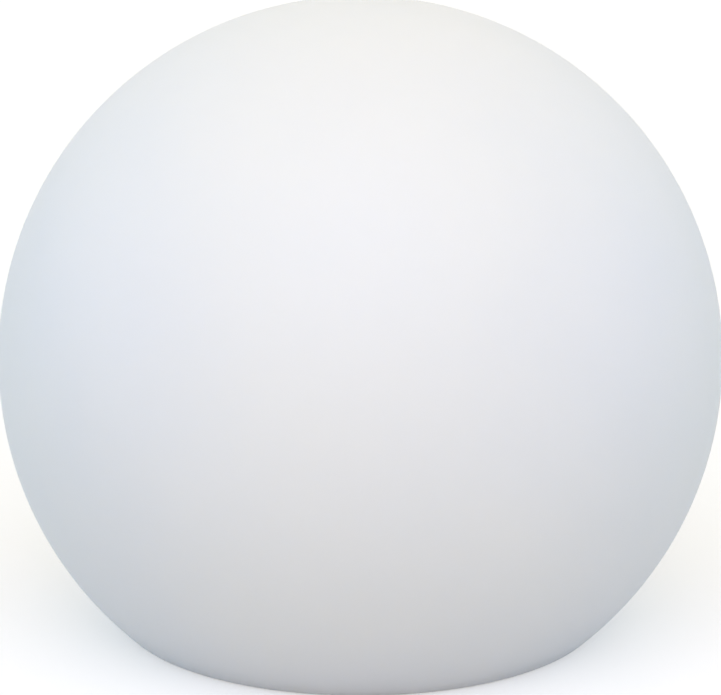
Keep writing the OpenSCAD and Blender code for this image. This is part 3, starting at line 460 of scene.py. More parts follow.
# Rotomoulded polyethylene, from a fine sand-blasted mould: milky right through, so that light goes
# in and comes out softened, with a satin skin and a barely uneven tone
milky_polyethylene = surface(
    "milky_rotomoulded_polyethylene", ("#F4F4F2", "#F1F2F2"), 60, 1.6, 0.010, (0.48, 0.6), IOR=1.51,
    **{"Subsurface Weight": 0.35, "Subsurface Radius": (1.0, 0.96, 0.9), "Subsurface Scale": 0.006})
# ABS, injection moulded against spark-eroded steel: an even, dull sheen over a fine pebble. The
# pebble is about 0.1 mm across and is drawn at 0.9 mm, so that it shows
white_abs = surface("spark_textured_white_abs", ("#E4E4E0", "#D9DAD7"), 25, 0.9, 0.022, (0.4, 0.58), IOR=1.54)
grey_abs = surface("spark_textured_grey_abs", ("#A6A9AC", "#989B9F"), 22, 0.9, 0.022, (0.38, 0.56), IOR=1.54)
# Nylon filled with glass fibre, moulded: charcoal with a dry, slightly mottled skin
graphite_nylon = surface(
    "glass_filled_graphite_nylon", ("#3A3D40", "#2A2D30"), 7, 0.7, 0.03, (0.42, 0.68), IOR=1.53)
# Polypropylene, moulded: waxy black with faint flow marks along the part
black_polypropylene = surface(
    "moulded_black_polypropylene", ("#161718", "#242628"), 14, 0.9, 0.015, (0.32, 0.5),
    (1, 0.25, 1), IOR=1.49)
# Silicone rubber, pressed in a hot mould: soft, dark and almost without shine. The button's is blue
silicone = surface("pressed_black_silicone", ("#19191A", "#272829"), 8, 0.6, 0.012, (0.6, 0.78), IOR=1.41)
blue_silicone = surface("pressed_blue_silicone", ("#34739F", "#2B638D"), 5, 0.5, 0.02, (0.48, 0.66), IOR=1.41)
# Stainless steel, drawn through a die: satin, with fine lines along the wire and the bars
stainless = surface(
    "drawn_stainless_steel", ("#BDBBB6", "#A6A5A1"), 3, 0.35, 0.006, (0.2, 0.38), (0.15, 1, 1), Metallic=1.0)
# Steel in bright zinc plate: a bluish white metal with a slight cloudiness
zinc = surface("bright_zinc_plate", ("#BCC1C6", "#A6ACB0"), 2.5, 0.4, 0.005, (0.22, 0.4), Metallic=1.0)
# Steel turned on a lathe and then zinc plated: lines from the tool. The feed of 0.1 mm is drawn at 0.5
turned_zinc = lathed(
    "turned_zinc_plated_steel", ("#BDC1C4", "#989DA1"), 0.5, 0.02, (0.24, 0.42), Metallic=1.0)
# Spring steel in bright nickel: warm, hard and shiny
nickel = surface(
    "nickel_plated_spring_steel", ("#CBC5B9", "#B3ADA2"), 2.5, 0.3, 0.003, (0.12, 0.24), Metallic=1.0)
# PVC film shrunk over a steel can: glossy green with the can's faint waves under it
cell_sleeve = surface("shrunk_green_film", ("#2F9160", "#237A4C"), 9, 3.2, 0.03, (0.16, 0.26), IOR=1.54)
# A washer of pressed paper board: off-white and dry
washer_board = surface("pressed_fibre_washer", ("#E9E4D6", "#D8D2C1"), 2, 0.4, 0.02, (0.6, 0.8), IOR=1.5)
# Glass-fibre boards under solder lacquer, with copper tracks showing through: green for the
# control and the switch, and white for the lights, so that it throws their glow upwards
green_board = solder_mask("green_solder_lacquer", ("#124F2C", "#17613A"), "#2F8A50", "#8C8F55", IOR=1.56)
white_board = solder_mask("white_solder_lacquer", ("#E8E9E5", "#DEE0DC"), "#F4F4EF", "#C9C6A4", IOR=1.56)
# Tin solder, wetted and cooled: bright with a frosty skin
solder = surface("tin_solder", ("#C9CBCC", "#B2B5B7"), 1.0, 0.25, 0.012, (0.2, 0.42), Metallic=1.0)
# Epoxy filled with silica, moulded round a chip: dull near-black with a sandy grain
chip_epoxy = surface("moulded_chip_epoxy", ("#1A1A1C", "#262629"), 1.5, 0.25, 0.015, (0.5, 0.68), IOR=1.55)
# Ferrite, pressed and fired: slate grey ceramic, rough as fine sandpaper
ferrite = surface("fired_ferrite", ("#2A2A2C", "#3C3C3F"), 1.0, 0.3, 0.03, (0.55, 0.75), IOR=2.0)
# Copper wire in clear enamel: deep orange brown and glossy
enamelled_copper = surface(
    "enamelled_copper", ("#A8602C", "#8E4A1E"), 1.5, 0.3, 0.004, (0.16, 0.28), Metallic=1.0)
# PVC film shrunk over a small aluminium can: dark blue, tight and glossy
capacitor_sleeve = surface("shrunk_blue_film", ("#1A2750", "#22315F"), 3, 1.0, 0.015, (0.18, 0.3), IOR=1.54)
# Aluminium, deep drawn: pale, soft metal with a silky top
drawn_aluminium = surface(
    "deep_drawn_aluminium", ("#CDCFD1", "#BBBDC0"), 2, 0.3, 0.006, (0.24, 0.38), Metallic=1.0)
# Nylon without pigment, moulded: the ivory of small connectors
socket_nylon = surface("moulded_ivory_nylon", ("#E8E1CB", "#D9D2BA"), 2.5, 0.4, 0.012, (0.34, 0.5), IOR=1.53)
# Silicone filled with yellow phosphor, cast in a cup: egg yellow, glossy and grainy below the skin
phosphor = surface("cast_phosphor_silicone", ("#F2D365", "#E6BE43"), 0.6, 0.25, 0.012, (0.2, 0.32), IOR=1.41)
# White polycarbonate from polished steel: a clean gloss that throws the lights' glow upwards
white_polycarbonate = surface(
    "polished_white_polycarbonate", ("#F0F1F1", "#E6E8E8"), 15, 2.2, 0.01, (0.14, 0.24), IOR=1.585)
# Clear polycarbonate from polished steel: glass-like, with the least waviness
clear_polycarbonate = surface(
    "polished_clear_polycarbonate", ("#F6FBFC", "#EFF7FA"), 30, 6.0, 0.004, (0.02, 0.05), IOR=1.585,
    **{"Transmission Weight": 1.0})
# Silicon cells, etched to a texture and printed with silver paste. A finger is 0.06 mm wide in
# life and is drawn at 0.16 mm, so that it shows
silicon_cell = fingered_cell(
    "etched_silicon_cell", ("#0D1838", "#182855"), "#9FA8B4", 1.9, 0.16, 0.02, IOR=1.5)
# Black glass-fibre sheet behind the cells
backing = surface("black_backing_laminate", ("#14161B", "#20242C"), 4, 0.7, 0.01, (0.24, 0.36), IOR=1.5)
# Copper strip, rolled and dipped in tin: silvery, with the dip's slight ripple
tinned_copper = surface(
    "tinned_copper_strip", ("#CFCFCC", "#B5B6B4"), 1.6, 0.3, 0.012, (0.18, 0.36), Metallic=1.0)
# Epoxy poured over the cells: water-clear, with a skin that has flowed level
clear_epoxy = surface(
    "poured_clear_epoxy", ("#F4F8F9", "#EDF4F6"), 20, 7.0, 0.006, (0.02, 0.05), IOR=1.52,
    **{"Transmission Weight": 1.0})
# PVC, extruded over stranded wire: the strands leave a faint ripple along the lead
red_pvc, black_pvc, grey_pvc, yellow_pvc = [
    surface(name + "_extruded_pvc", tones, 5, 0.7, 0.02, (0.3, 0.44), IOR=1.54) for name, tones in (
        ("red", ("#B32222", "#9F1B1B")), ("black", ("#1A1A1A", "#252525")),
        ("grey", ("#7C7E80", "#6C6E70")), ("yellow", ("#DDB930", "#CBA422")))]


# The globe

GLOBE_STEPS, INSIDE_STEPS, GLOBE_AROUND = 150, 110, 256


def ball(radius, floor, foot, steps):
    """Half the section of a ball from its top pole, r = R sin(a), z = H + R cos(a), and the arc of
    radius foot, tangent to it, that turns it under to the floor."""
    z = floor + foot
    r = math.sqrt((radius - foot) ** 2 - (CENTRE_H - z) ** 2)
    low = math.atan2(r, z - CENTRE_H)
    a = np.linspace(0, low, steps)
    over = np.stack([radius * np.sin(a), CENTRE_H + radius * np.cos(a)], -1)
    b = np.linspace(low, math.pi, 12)[1:]
    return np.vstack([over, np.stack([r + foot * np.sin(b), z + foot * np.cos(b)], -1)])


def globe_profile():
    """Half the globe's section, from the top pole down the outside, under the foot, over the
    recess's lip, through the neck's hole and back up the inside."""
    outside = ball(GLOBE_R, 0, FOOT_ROUND, GLOBE_STEPS)
    inside = ball(GLOBE_R - WALL, WALL, FOOT_ROUND - WALL, INSIDE_STEPS)
    neck = rounded(
        [(RECESS_R, 0), (RECESS_R, RECESS_H), (HOLE_R, RECESS_H), (HOLE_R, RECESS_H + WALL),
         (RECESS_R + WALL, RECESS_H + WALL), (RECESS_R + WALL, WALL), inside[-1]],
        [LIP_ROUND, 0.8, 0.3, 0.3, 1.2, 1.2, 0], 7, closed=False)
    turn = np.linspace(-math.pi / 2, -math.pi, 8)
    lip = np.stack([RECESS_R + LIP_ROUND * (1 + np.cos(turn)), LIP_ROUND * (1 + np.sin(turn))], -1)
    return np.vstack([outside, lip, neck[1:-1], inside[::-1]])


def screw_bosses():
    """Six blind posts on the recess's ceiling, one over each of the collar's screws, that start
    inside its wall."""
    post = rounded(
        [(0, BOSS_LOW), (BOSS_R, BOSS_LOW), (BOSS_R, BOSS_TOP), (0, BOSS_TOP)],
        [0, 0, 0.6, 0], 4, closed=False)
    return [turned(post, 32, middle(box)[:2]) for box in solids("collar_screws")]


# A wider limit than the others', so that the neck's rounded edges stay smooth
GLOBE_SMOOTH_BELOW = 50
globe = gather([turned(globe_profile(), GLOBE_AROUND)] + screw_bosses())
piece("milky_globe", globe, milky_polyethylene, "globe_shell", GLOBE_SMOOTH_BELOW)


# Screws: the shank's width and the head's height in millimetres, and which way they point

for name, finish, shank, head_h, way in (
    ("collar_screws", stainless, 3.0, 1.95, 1), ("cover_screws", stainless, 2.6, 1.8, 1),
    ("retainer_screws", stainless, 2.6, 1.4, -1), ("holder_screws", zinc, 2.6, 1.5, -1),
    ("board_screws", zinc, 2.6, 1.6, -1), ("led_board_screws", zinc, 2.6, 1.3, -1),
    ("switch_screws", zinc, 1.8, 1.1, -1),
):
    screws(name, finish, shank, head_h, way)


# Seals

def seals(node):
    """Rings of round section, one for each solid of a node."""
    shapes = []
    for low, high in solids(node):
        section = (high[2] - low[2]) / 2
        x, y, z = (low + high) / 2
        shapes.append(o_ring((high[0] - low[0]) / 2 - section, section, z, (x, y)))
    piece(node + "_moulded", gather(shapes), silicone, node)


seals("barrel_o_rings")
seals("button_o_ring")


# Batteries

CELL_AROUND = 96


def cell(node, cap_r=2.7, cap_h=1.4, edge=0.5):
    """A battery cell as three pieces: the can with its cap, a washer round the cap, and a film shrunk over
    the can's edges and its crimp. Each is a profile turned about the cell's axis."""
    low, high = solids(node)[0]
    way = 1 if low[1] + high[1] > 0 else -1
    radius, length = (high[0] - low[0]) / 2, high[1] - low[1]
    x, _, z = (low + high) / 2
    at = (x, high[1] if way > 0 else low[1], z)
    can = rounded(
        [(0, 0), (cap_r, 0), (cap_r, cap_h), (radius - edge, cap_h), (radius - edge, length - 0.1),
         (0, length - 0.1)],
        [0, 0.35, 0.2, 0.4, 0.4, 0], 6, closed=False)
    washer = rounded([(2.9, 1.22), (6.1, 1.22), (6.1, 1.45), (2.9, 1.45)], [0.05] * 4, 3)
    film = rounded(
        [(5.7, 1.2), (radius, 1.2), (radius, 2.9), (radius - 0.3, 3.3), (radius, 3.7), (radius, length),
         (radius - 0.9, length), (radius - 0.9, length - 0.12), (radius - 0.4, length - 0.12),
         (radius - 0.4, 1.35), (5.7, 1.35)],
        [0.05, 0.7, 0.3, 0.3, 0.3, 0.6, 0.04, 0.04, 0.3, 0.3, 0.05], 6)
    piece(node + "_can", lay(turned(can, CELL_AROUND), at, way), nickel, node)
    piece(node + "_washer", lay(turned(washer, CELL_AROUND), at, way), washer_board, node)
    piece(node + "_film", lay(turned(film, CELL_AROUND), at, way), cell_sleeve, node)


def spring(box, turns=3, wire=0.35):
    """A coil spring along Y: x = r cos(2 pi n t), z = r sin(2 pi n t), y from one end to the other
    as t goes from 0 to 1."""
    low, high = box
    x, _, z = (low + high) / 2
    r = (high[0] - low[0]) / 2 - wire
    t = np.linspace(0, 1, 32 * turns + 1)
    a = 2 * np.pi * turns * t
    y = low[1] + wire + (high[1] - low[1] - 2 * wire) * t
    return tube(np.stack([x + r * np.cos(a), y, z + r * np.sin(a)], -1), wire, (0, 1, 0), 12)


def contact(box):
    """A stamped contact plate: a rounded square with a pressed ring round its middle, on each
    face a groove 0.1 mm deep."""
    low, high = box
    half, thick = (high[0] - low[0]) / 2, high[1] - low[1]
    rows = [(3.4, 3.4, 2, 0), (3.6, 3.6, 2, 0.1), (4.0, 4.0, 2, 0.1), (4.2, 4.2, 2, 0),
            (half - 0.08, half - 0.08, 9, 0), (half, half, 9, 0.08), (half, half, 9, thick - 0.08),
            (half - 0.08, half - 0.08, 9, thick), (4.2, 4.2, 2, thick), (4.0, 4.0, 2, thick - 0.1),
            (3.6, 3.6, 2, thick - 0.1), (3.4, 3.4, 2, thick)]
    x, _, z = (low + high) / 2
    return lay(lofted(rows), (x, high[1], z), 1)


for name in ("battery_cell_1", "battery_cell_2", "battery_cell_3"):
    cell(name)
coils = gather([spring(box) for box in solids("cell_springs")])
piece("coiled_cell_springs", coils, nickel, "cell_springs")
plates = gather([contact(box) for box in solids("cell_contacts")])
piece("stamped_contacts", plates, nickel, "cell_contacts")


# Control board's parts

LEG_PITCH = 1.27
CAN_AROUND = 64


def chip(node, legs):
    """A moulded chip whose top and bottom are drawn in, as three rounded rectangles one above
    another, and gull-wing legs a pitch apart on its two long sides."""
    low, high = solids(node)[0]
    for box in solids(node)[1:]:
        low, high = np.minimum(low, box[0]), np.maximum(high, box[1])
    x, y, _ = (low + high) / 2
    wide, long, lift = (high[0] - low[0]) / 2 - 0.9, (high[1] - low[1]) / 2, 0.15
    tall = high[2] - low[2] - lift
    body = lofted([(wide - 0.12, long - 0.12, 18, lift), (wide, long, 18, lift + tall / 2),
                   (wide - 0.12, long - 0.12, 18, lift + tall)])
    piece(node + "_body", put(body, (x, y, low[2])), chip_epoxy, node)
    shapes = []
    for side in (-1, 1):
        knee = [(wide - 0.1, lift + 0.7), (wide + 0.4, lift + 0.7), (wide + 0.45, 0.07), (wide + 0.9, 0.07)]
        path = rounded(knee, [0, 0.15, 0.15, 0], 4, closed=False)
        for k in range(legs):
            place = (k - (legs - 1) / 2) * LEG_PITCH
            points = np.stack([side * path[:, 0], place + 0 * path[:, 0], path[:, 1]], -1)
            shapes.append(put(strip(points, (0, 1, 0), 0.4, 0.14), (x, y, low[2])))
    piece(node + "_legs", gather(shapes), tinned_copper, node)


def inductor(node, core=3.0, flange=0.8, wire=0.17, turns=7):
    """A drum of ferrite with a coil of enamelled wire on it: a turned spool, and the helix
    x = c cos(2 pi n t), y = c sin(2 pi n t) round its core, z from flange to flange as t goes
    from 0 to 1."""
    low, high = solids(node)[0]
    x, y, _ = (low + high) / 2
    r, tall = (high[0] - low[0]) / 2, high[2] - low[2]
    spool = rounded(
        [(0, 0), (r, 0), (r, flange), (core, flange), (core, tall - flange), (r, tall - flange),
         (r, tall), (0, tall)],
        [0, 0.2, 0.15, 0.1, 0.1, 0.15, 0.2, 0], 4, closed=False)
    piece(node + "_drum", put(turned(spool, CAN_AROUND), (x, y, low[2])), ferrite, node)
    t = np.linspace(0, 1, 32 * turns + 1)
    a = 2 * np.pi * turns * t
    z = low[2] + flange + wire + (tall - 2 * flange - 2 * wire) * t
    c = core + 0.15
    winding = tube(np.stack([x + c * np.cos(a), y + c * np.sin(a), z], -1), wire, (0, 0, 1), 10)
    piece(node + "_winding", winding, enamelled_copper, node)


def capacitor(box):
    """A can capacitor as three turned shapes: its seat, the film with a crimp near its foot, and
    the can's bare top."""
    low, high = box
    r, tall = (high[0] - low[0]) / 2, high[2] - low[2]
    x, y, _ = (low + high) / 2
    seat = rounded([(0, 0), (r, 0), (r, 0.8), (0, 0.8)], [0, 0.15, 0.15, 0], 4, closed=False)
    film = rounded(
        [(r - 0.3, 0.8), (r - 0.3, 1.5), (r - 0.65, 1.9), (r - 0.3, 2.3), (r - 0.3, tall), (r - 0.9, tall),
         (r - 0.9, tall - 0.1), (r - 0.75, tall - 0.3), (r - 0.75, 0.8)],
        [0, 0.3, 0.3, 0.3, 0.35, 0.03, 0.03, 0.1, 0], 5)
    top = rounded([(0, tall - 1.2), (r - 0.8, tall - 1.2), (r - 0.8, tall - 0.1), (0, tall - 0.1)],
                  [0, 0, 0.15, 0], 4, closed=False)
    return [put(turned(shape, CAN_AROUND), (x, y, low[2])) for shape in (seat, film, top)]


def socket(box, sideways):
    """A connector's housing, open at its top or, sideways, at its back, with the plug in it: both
    are rounded rectangles one above another."""
    low, high = box
    across, deep, tall = (high[0] - low[0]) / 2, (high[1] - low[1]) / 2, high[2] - low[2]
    if sideways:
        deep, tall = tall / 2, 2 * deep
    housing = lofted([
        (across, deep, 14, 0), (across, deep, 14, tall - 0.1), (across - 0.1, deep - 0.1, 14, tall),
        (across - 0.5, deep - 0.5, 14, tall), (across - 0.6, deep - 0.6, 14, tall - 0.1),
        (across - 0.6, deep - 0.6, 14, 1.0)])
    plug = lofted([(across - 0.75, deep - 0.75, 12, 1.1), (across - 0.75, deep - 0.75, 12, tall - 0.5),
                   (across - 0.95, deep - 0.95, 12, tall - 0.35)])
    x, y, z = (low + high) / 2
    if sideways:
        return [lay(shape, (x, low[1], z), -1) for shape in (housing, plug)]
    return [put(shape, (x, y, low[2])) for shape in (housing, plug)]


def push_switch(box, stem_r=1.6, stem_deep=2.6, plate=0.25):
    """A push switch that faces down: a moulded body with a blind hole for its stem, a steel plate
    with the same hole over its face, and four rivet heads that hold the plate."""
    low, high = box
    x, y, _ = (low + high) / 2
    half, tall = (high[0] - low[0]) / 2, high[2] - low[2]
    body = lofted([
        (stem_r, stem_r, 2, stem_deep), (stem_r, stem_r, 2, plate), (half - 0.1, half - 0.1, 14, plate),
        (half, half, 14, plate + 0.1), (half, half, 14, tall - 0.1), (half - 0.1, half - 0.1, 14, tall)])
    cover = lofted([
        (stem_r, stem_r, 2, 0.05), (half - 0.12, half - 0.12, 10, 0.05),
        (half - 0.12, half - 0.12, 10, plate), (stem_r, stem_r, 2, plate)], pierced=True)
    rivet = rounded([(0, 0), (0.42, 0), (0.42, plate), (0, plate)], [0, 0.12, 0, 0], 4, closed=False)
    corner = half - 0.8
    rivets = [put(turned(rivet, 20), (x + a * corner, y + b * corner, low[2]))
              for a in (-1, 1) for b in (-1, 1)]
    return put(body, (x, y, low[2])), gather([put(cover, (x, y, low[2]))] + rivets)


chip("charge_chip", 4)
chip("control_chip", 7)
inductor("charge_inductor")
seats, films, tops = zip(*[capacitor(box) for box in solids("capacitors")])
piece("capacitor_seats", gather(seats), black_polypropylene, "capacitors")
piece("capacitor_films", gather(films), capacitor_sleeve, "capacitors")
piece("capacitor_tops", gather(tops), drawn_aluminium, "capacitors")
# Of the board's sockets, the second and the third lie on their sides
sockets = solids("lead_sockets")
housings, plugs = zip(*[socket(box, k in (1, 2)) for k, box in enumerate(sockets)])
piece("socket_housings", gather(housings), socket_nylon, "lead_sockets")
piece("lead_plugs", gather(plugs), white_polycarbonate, "lead_sockets")

switch_case, switch_plate = push_switch(solids("switch_body")[0])
piece("switch_case", switch_case, chip_epoxy, "switch_body")
piece("switch_plate", switch_plate, zinc, "switch_body")

# A cone of solder under the board at each pin of the sockets
board_low = solids("control_board")[0][0][2]
joint = rounded(
    [(0, 0.01), (0.85, 0.01), (0.3, -0.55), (0.25, -0.9), (0, -0.9)], [0, 0, 0.2, 0.1, 0], 4,
    closed=False)
joints = [put(turned(joint, 24), (middle(box)[0] + side, middle(box)[1], board_low))
          for box in sockets for side in (-1, 1)]
piece("solder_joints", gather(joints), solder, "control_board")


# Lights

def light(box):
    """A light as two shapes: a white housing with a dished cup, rounded squares below and circles
    above, and the phosphor that fills the cup."""
    low, high = box
    x, y, _ = (low + high) / 2
    turn = math.atan2(y, x)
    reach = abs(math.cos(turn)) + abs(math.sin(turn))
    half, tall = (high[0] - low[0]) / 2 / reach, high[2] - low[2]
    housing = lofted([
        (half, half, 12, 0), (half, half, 12, tall - 0.08), (half - 0.08, half - 0.08, 12, tall),
        (half * 0.84, half * 0.84, 2, tall), (half * 0.7, half * 0.7, 2, tall / 2)])
    fill = lofted([
        (half * 0.7, half * 0.7, 2, tall / 2), (half * 0.82, half * 0.82, 2, tall - 0.12),
        (half * 0.6, half * 0.6, 2, tall - 0.07), (half * 0.3, half * 0.3, 2, tall - 0.04)])
    return [put(shape, (x, y, low[2]), turn) for shape in (housing, fill)]


cups, fills = zip(*[light(box) for box in solids("led_packages")])
piece("light_housings", gather(cups), white_polycarbonate, "led_packages")
piece("light_phosphor", gather(fills), phosphor, "led_packages")


# Lens

def lens_profile(box, t=2.0, rim=2.0, inset=2.2, steps=40):
    """Half the lens's section: a flat rim, and a dome of thickness t whose outer face is the arc
    through the rim's inner edge and the top, of radius (r^2 + rise^2) / (2 rise), where r is the
    rim's inner radius. Inset is how far inside r the dome's inner face meets the rim's."""
    low, high = box
    out, rim_z = (high[0] - low[0]) / 2, low[2]
    rim_r, rise = out - rim, high[2] - rim_z - t
    r_ball = (rim_r ** 2 + rise ** 2) / (2 * rise)
    centre = high[2] - r_ball
    over = np.linspace(0, math.asin((rim_r - 1) / r_ball), steps)
    under = np.linspace(math.asin((rim_r - inset) / (r_ball - t)), 0, steps)
    top = np.stack([r_ball * np.sin(over), centre + r_ball * np.cos(over)], -1)
    inner = np.stack([(r_ball - t) * np.sin(under), centre + (r_ball - t) * np.cos(under)], -1)
    rim = rounded(
        [top[-1], (rim_r - 0.8, rim_z + t), (out, rim_z + t), (out, rim_z), (rim_r - inset, rim_z),
         inner[0]],
        [0, 0.1, 0.25, 0.25, 0.25, 0], 5, closed=False)
    return np.vstack([top, rim[1:-1], inner])


LENS_AROUND = 192
lens = turned(lens_profile(solids("lens_dome")[0]), LENS_AROUND)
piece("clear_lens", lens, clear_polycarbonate, "lens_dome")


# Leads

# Their radius, the radius of a bend, how far an end goes into a plug, and the points round
LEAD_R, LEAD_BEND, PLUG_IN, LEAD_AROUND = 0.7, 2.2, 0.6, 20


def run(x, places):
    """A lead at one x through places in (y, z), its bends turned to one radius. The arcs' ends that
    fall on one point are dropped."""
    path = rounded([(x, y, z) for y, z in places], [LEAD_BEND] * len(places), 8, closed=False)
    steps = np.linalg.norm(np.diff(path, axis=0), axis=1)
    apart = np.concatenate([[True], steps > 1e-6])
    return tube(path[apart], LEAD_R, (1, 0, 0), LEAD_AROUND)


holder_back = solids("battery_holder")[0][1][1]
into_side = sockets[1][1][1] - PLUG_IN
into_top = sockets[0][1][2] - PLUG_IN
battery, switch = solids("battery_leads"), solids("switch_leads")
slot_y = battery[0][1][1] - LEAD_R
lead_z = battery[0][1][2] - LEAD_R
out_z = battery[0][0][2] + LEAD_R
battery_way = [(holder_back, out_z), (slot_y, out_z), (slot_y, lead_z), (into_side, lead_z)]
switch_way = [(slot_y, switch[0][0][2]), (slot_y, lead_z), (into_side, lead_z)]
for node, way, finishes in (
    ("battery_leads", battery_way, (black_pvc, red_pvc)), ("switch_leads", switch_way, (grey_pvc, grey_pvc)),
    ("led_leads", None, (black_pvc, yellow_pvc)), ("panel_leads", None, (black_pvc, red_pvc)),
):
    for (low, high), finish, side in zip(solids(node), finishes, ("left", "right")):
        x, y, _ = (low + high) / 2
        if way:
            shape = run(x, way)
        else:
            upright = [(x, y, into_top), (x, y, low[2]), (x, y, high[2])]
            shape = tube(upright, LEAD_R, (1, 0, 0), LEAD_AROUND)
        piece(node + "_" + side, shape, finish, node)


# Mooring bail

# How far from the middle its pins start, and how their ends are rounded, as places along a pin and
# shares of the wire's radius
PIN_IN = 5.4
END_ALONG = np.array([0, 0.08, 0.22, 0.45])
END_SHARE = np.array([0.62, 0.8, 0.94, 1.0])


def bail(box, wire=1.5, bend=2.0):
    """One bent wire in the plane of the bail's pivot: two pins that point in, two legs, and the
    half circle x = r cos(a), y = y0 - r sin(a) between them. Its ends are rounded."""
    low, high = box
    r, z = high[0] - wire, (low[2] + high[2]) / 2
    y0 = low[1] + wire + r
    a = np.linspace(0, math.pi, 49)
    corner = rounded([(PIN_IN, 0), (r, 0), (r, y0)], [0, bend, 0], 10, closed=False)
    arc = np.stack([r * np.cos(a), y0 - r * np.sin(a)], -1)[1:-1]
    half = np.vstack([np.stack([PIN_IN + END_ALONG, 0 * END_ALONG], -1), corner[1:]])
    flat = np.vstack([half, arc, (half * [-1, 1])[::-1]])
    full = np.ones(len(flat) - 2 * len(END_SHARE))
    radius = np.concatenate([END_SHARE, full, END_SHARE[::-1]]) * wire
    return tube(np.column_stack([flat, np.full(len(flat), z)]), radius, (0, 0, 1), 24)


piece("bent_bail", bail(solids("mooring_bail")[0]), stainless, "mooring_bail")

# The nodes whose own surfaces have the finished shape
for finish, names in (
    (silicone, "collar_gasket cover_gasket lens_gasket"), (white_abs, "neck_collar"),
    (grey_abs, "module_cup deck_plate light_ring base_cover lens_retainer"), (turned_zinc, "ballast_ring"),
    (black_polypropylene, "battery_holder"), (green_board, "switch_board control_board"),
    (socket_nylon, "switch_plunger"), (white_board, "led_board"),
    (white_polycarbonate, "reflector_ring"), (backing, "panel_backing"), (silicon_cell, "solar_cells"),
    (tinned_copper, "cell_ribbons"), (clear_epoxy, "panel_window"), (graphite_nylon, "lock_ring"),
    (blue_silicone, "button_cap"),
):
    for name in names.split():
        smoothed(name, finish)


# The room

# Light from all round, as red, green and blue, and what is added to it at both sides, overhead
# and behind
ROUND_TONE = (0.955, 0.745, 0.57)
SIDE_TINT, TOP_TINT, BACK_TINT = (-0.6, 0.0, 0.25), (-0.05, -0.06, -0.25), (-0.13, -0.03, 0.12)
# Each lamp's name, tone with its power in it, turn round the light and height, in degrees
LAMPS = (
    ("broad_front_lamp", (0.95, 1.07, 1.59), 0, 50),
    ("cool_left_lamp", (0.0, 0.1, 0.6), -90, 5),
    ("cool_right_lamp", (0.0, 0.0, 0.42), 90, 5),
)
LAMP_WIDTH = 60

# The viewer: a long lens that looks a little above the globe's middle. Distances are in metres
ELEVATION = math.radians(16.1)
VIEW_DISTANCE, AIM_RISE, FAR_CLIP = 1.8, 0.0045, 60
LENS_MM, SENSOR_MM = 216.3, 36
globe_middle = Vector((0, 0, CENTRE_H * MM))
toward = Vector((0, -math.cos(ELEVATION), math.sin(ELEVATION)))
camera = bpy.data.objects.new("camera", bpy.data.cameras.new("camera"))
bpy.context.scene.collection.objects.link(camera)
bpy.context.scene.camera = camera
camera.location = globe_middle + VIEW_DISTANCE * toward
aim = globe_middle + Vector((0, 0, AIM_RISE)) - camera.location
camera.rotation_euler = aim.to_track_quat("-Z", "Y").to_euler()
camera.data.lens = LENS_MM
camera.data.sensor_width = SENSOR_MM
camera.data.clip_end = FAR_CLIP

# A wide round floor with a hole under the light's foot, through which the module is drawn out.
# Its rings' radii are in metres
HOLE_UNDER_FOOT = 0.0955
FLOOR_RADII = (HOLE_UNDER_FOOT, 0.3, 1, 4, 28)
FLOOR_AROUND = 128
FLOOR_Z = 0
angle = np.arange(FLOOR_AROUND) * 2 * np.pi / FLOOR_AROUND
reach = np.array(FLOOR_RADII)[:, None]
rings = np.stack([reach * np.cos(angle), reach * np.sin(angle), FLOOR_Z + 0 * reach * angle], -1)
here = np.arange(rings.shape[0] * FLOOR_AROUND).reshape(-1, FLOOR_AROUND)
beside = np.roll(here, -1, axis=1)
squares = np.stack([here[:-1], here[1:], beside[1:], beside[:-1]], -1).reshape(-1, 4)
floor_mesh = bpy.data.meshes.new("floor")
floor_mesh.from_pydata(rings.reshape(-1, 3).tolist(), [], squares.tolist())
floor = bpy.data.objects.new("floor", floor_mesh)
bpy.context.scene.collection.objects.link(floor)


def seen(tree):
    """The largest of three flags: 1 for rays from the camera and for those that metal and glass
    send on, 0 for the light itself."""
    path = add(tree, "LightPath").outputs
    sent_on = add(tree, "Math", {"operation": "MAXIMUM"}, {
        0: path["Is Glossy Ray"], 1: path["Is Transmission Ray"]}).outputs[0]
    return add(tree, "Math", {"operation": "MAXIMUM"}, {0: path["Is Camera Ray"], 1: sent_on}).outputs[0]


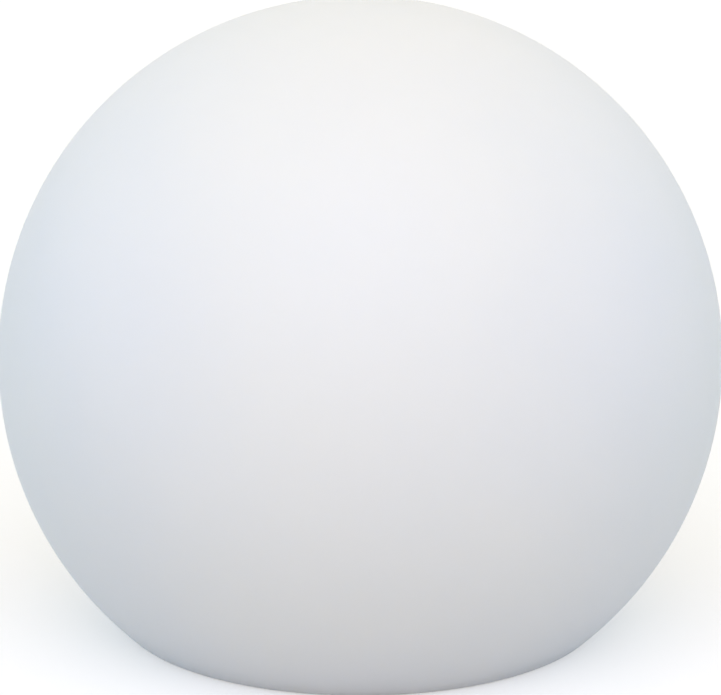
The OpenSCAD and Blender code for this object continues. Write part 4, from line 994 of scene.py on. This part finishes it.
# Matt painted floor: it keeps the shadow, and its own colour is lifted to white where it is seen.
# It has one side, so that the underside and the module when it is drawn out show from below
FLOOR_TONE, FLOOR_LIFT = 0.6, 0.455
floor_paint = bpy.data.materials.new("matt_white_floor_paint")
floor_paint.use_nodes = True
paint = floor_paint.node_tree
paint.nodes.clear()
matt = add(paint, "BsdfDiffuse", None, {"Color": (FLOOR_TONE, FLOOR_TONE, FLOOR_TONE, 1)})
strength = add(paint, "Math", {"operation": "MULTIPLY"}, {0: seen(paint), 1: FLOOR_LIFT}).outputs[0]
lift = add(paint, "Emission", None, {"Strength": strength})
both = add(paint, "AddShader", None, {0: matt.outputs[0], 1: lift.outputs[0]}).outputs[0]
under = add(paint, "NewGeometry").outputs["Backfacing"]
clear = add(paint, "BsdfTransparent").outputs[0]
one_sided = add(paint, "MixShader", None, {0: under, 1: both, 2: clear}).outputs[0]
add(paint, "OutputMaterial", None, {"Surface": one_sided})
floor_mesh.materials.append(floor_paint)

# Soft light from all round, a little warm overhead and cooler at both sides and behind. To a
# viewer the same room is plain white
world = bpy.data.worlds.new("soft_studio_light")
bpy.context.scene.world = world
world.use_nodes = True
sky = world.node_tree
sky.nodes.clear()
way = add(sky, "SeparateXYZ", None, {0: add(sky, "TexCoord").outputs["Generated"]})
aside = add(sky, "Math", {"operation": "MULTIPLY"}, {0: way.outputs[0], 1: way.outputs[0]}).outputs[0]
behind = add(sky, "Math", {"operation": "MAXIMUM"}, {0: way.outputs[1], 1: 0.0}).outputs[0]
glow = ROUND_TONE
for tint, share in ((SIDE_TINT, aside), (TOP_TINT, way.outputs[2]), (BACK_TINT, behind)):
    tinted = add(sky, "VectorMath", {"operation": "SCALE"}, {0: tint, "Scale": share}).outputs[0]
    glow = add(sky, "VectorMath", {"operation": "ADD"}, {0: tinted, 1: glow}).outputs[0]
lamp = add(sky, "Background", None, {"Color": glow, "Strength": 1.0}).outputs[0]
plain = add(sky, "Background", None, {"Color": (1, 1, 1, 1), "Strength": 1.0}).outputs[0]
room = add(sky, "MixShader", None, {0: seen(sky), 1: lamp, 2: plain}).outputs[0]
add(sky, "OutputWorld", None, {"Surface": room})

# A broad lamp in front, above the viewer, and a weak cool one at each side
for name, tone, turn, height in LAMPS:
    broad = bpy.data.lights.new(name, "SUN")
    broad.energy = 1.0
    broad.color = tone
    broad.angle = math.radians(LAMP_WIDTH)
    lamp_stand = bpy.data.objects.new(name, broad)
    bpy.context.scene.collection.objects.link(lamp_stand)
    lamp_stand.rotation_euler = (math.radians(90 - height), 0, math.radians(turn))

bpy.context.scene.view_settings.view_transform = "Standard"
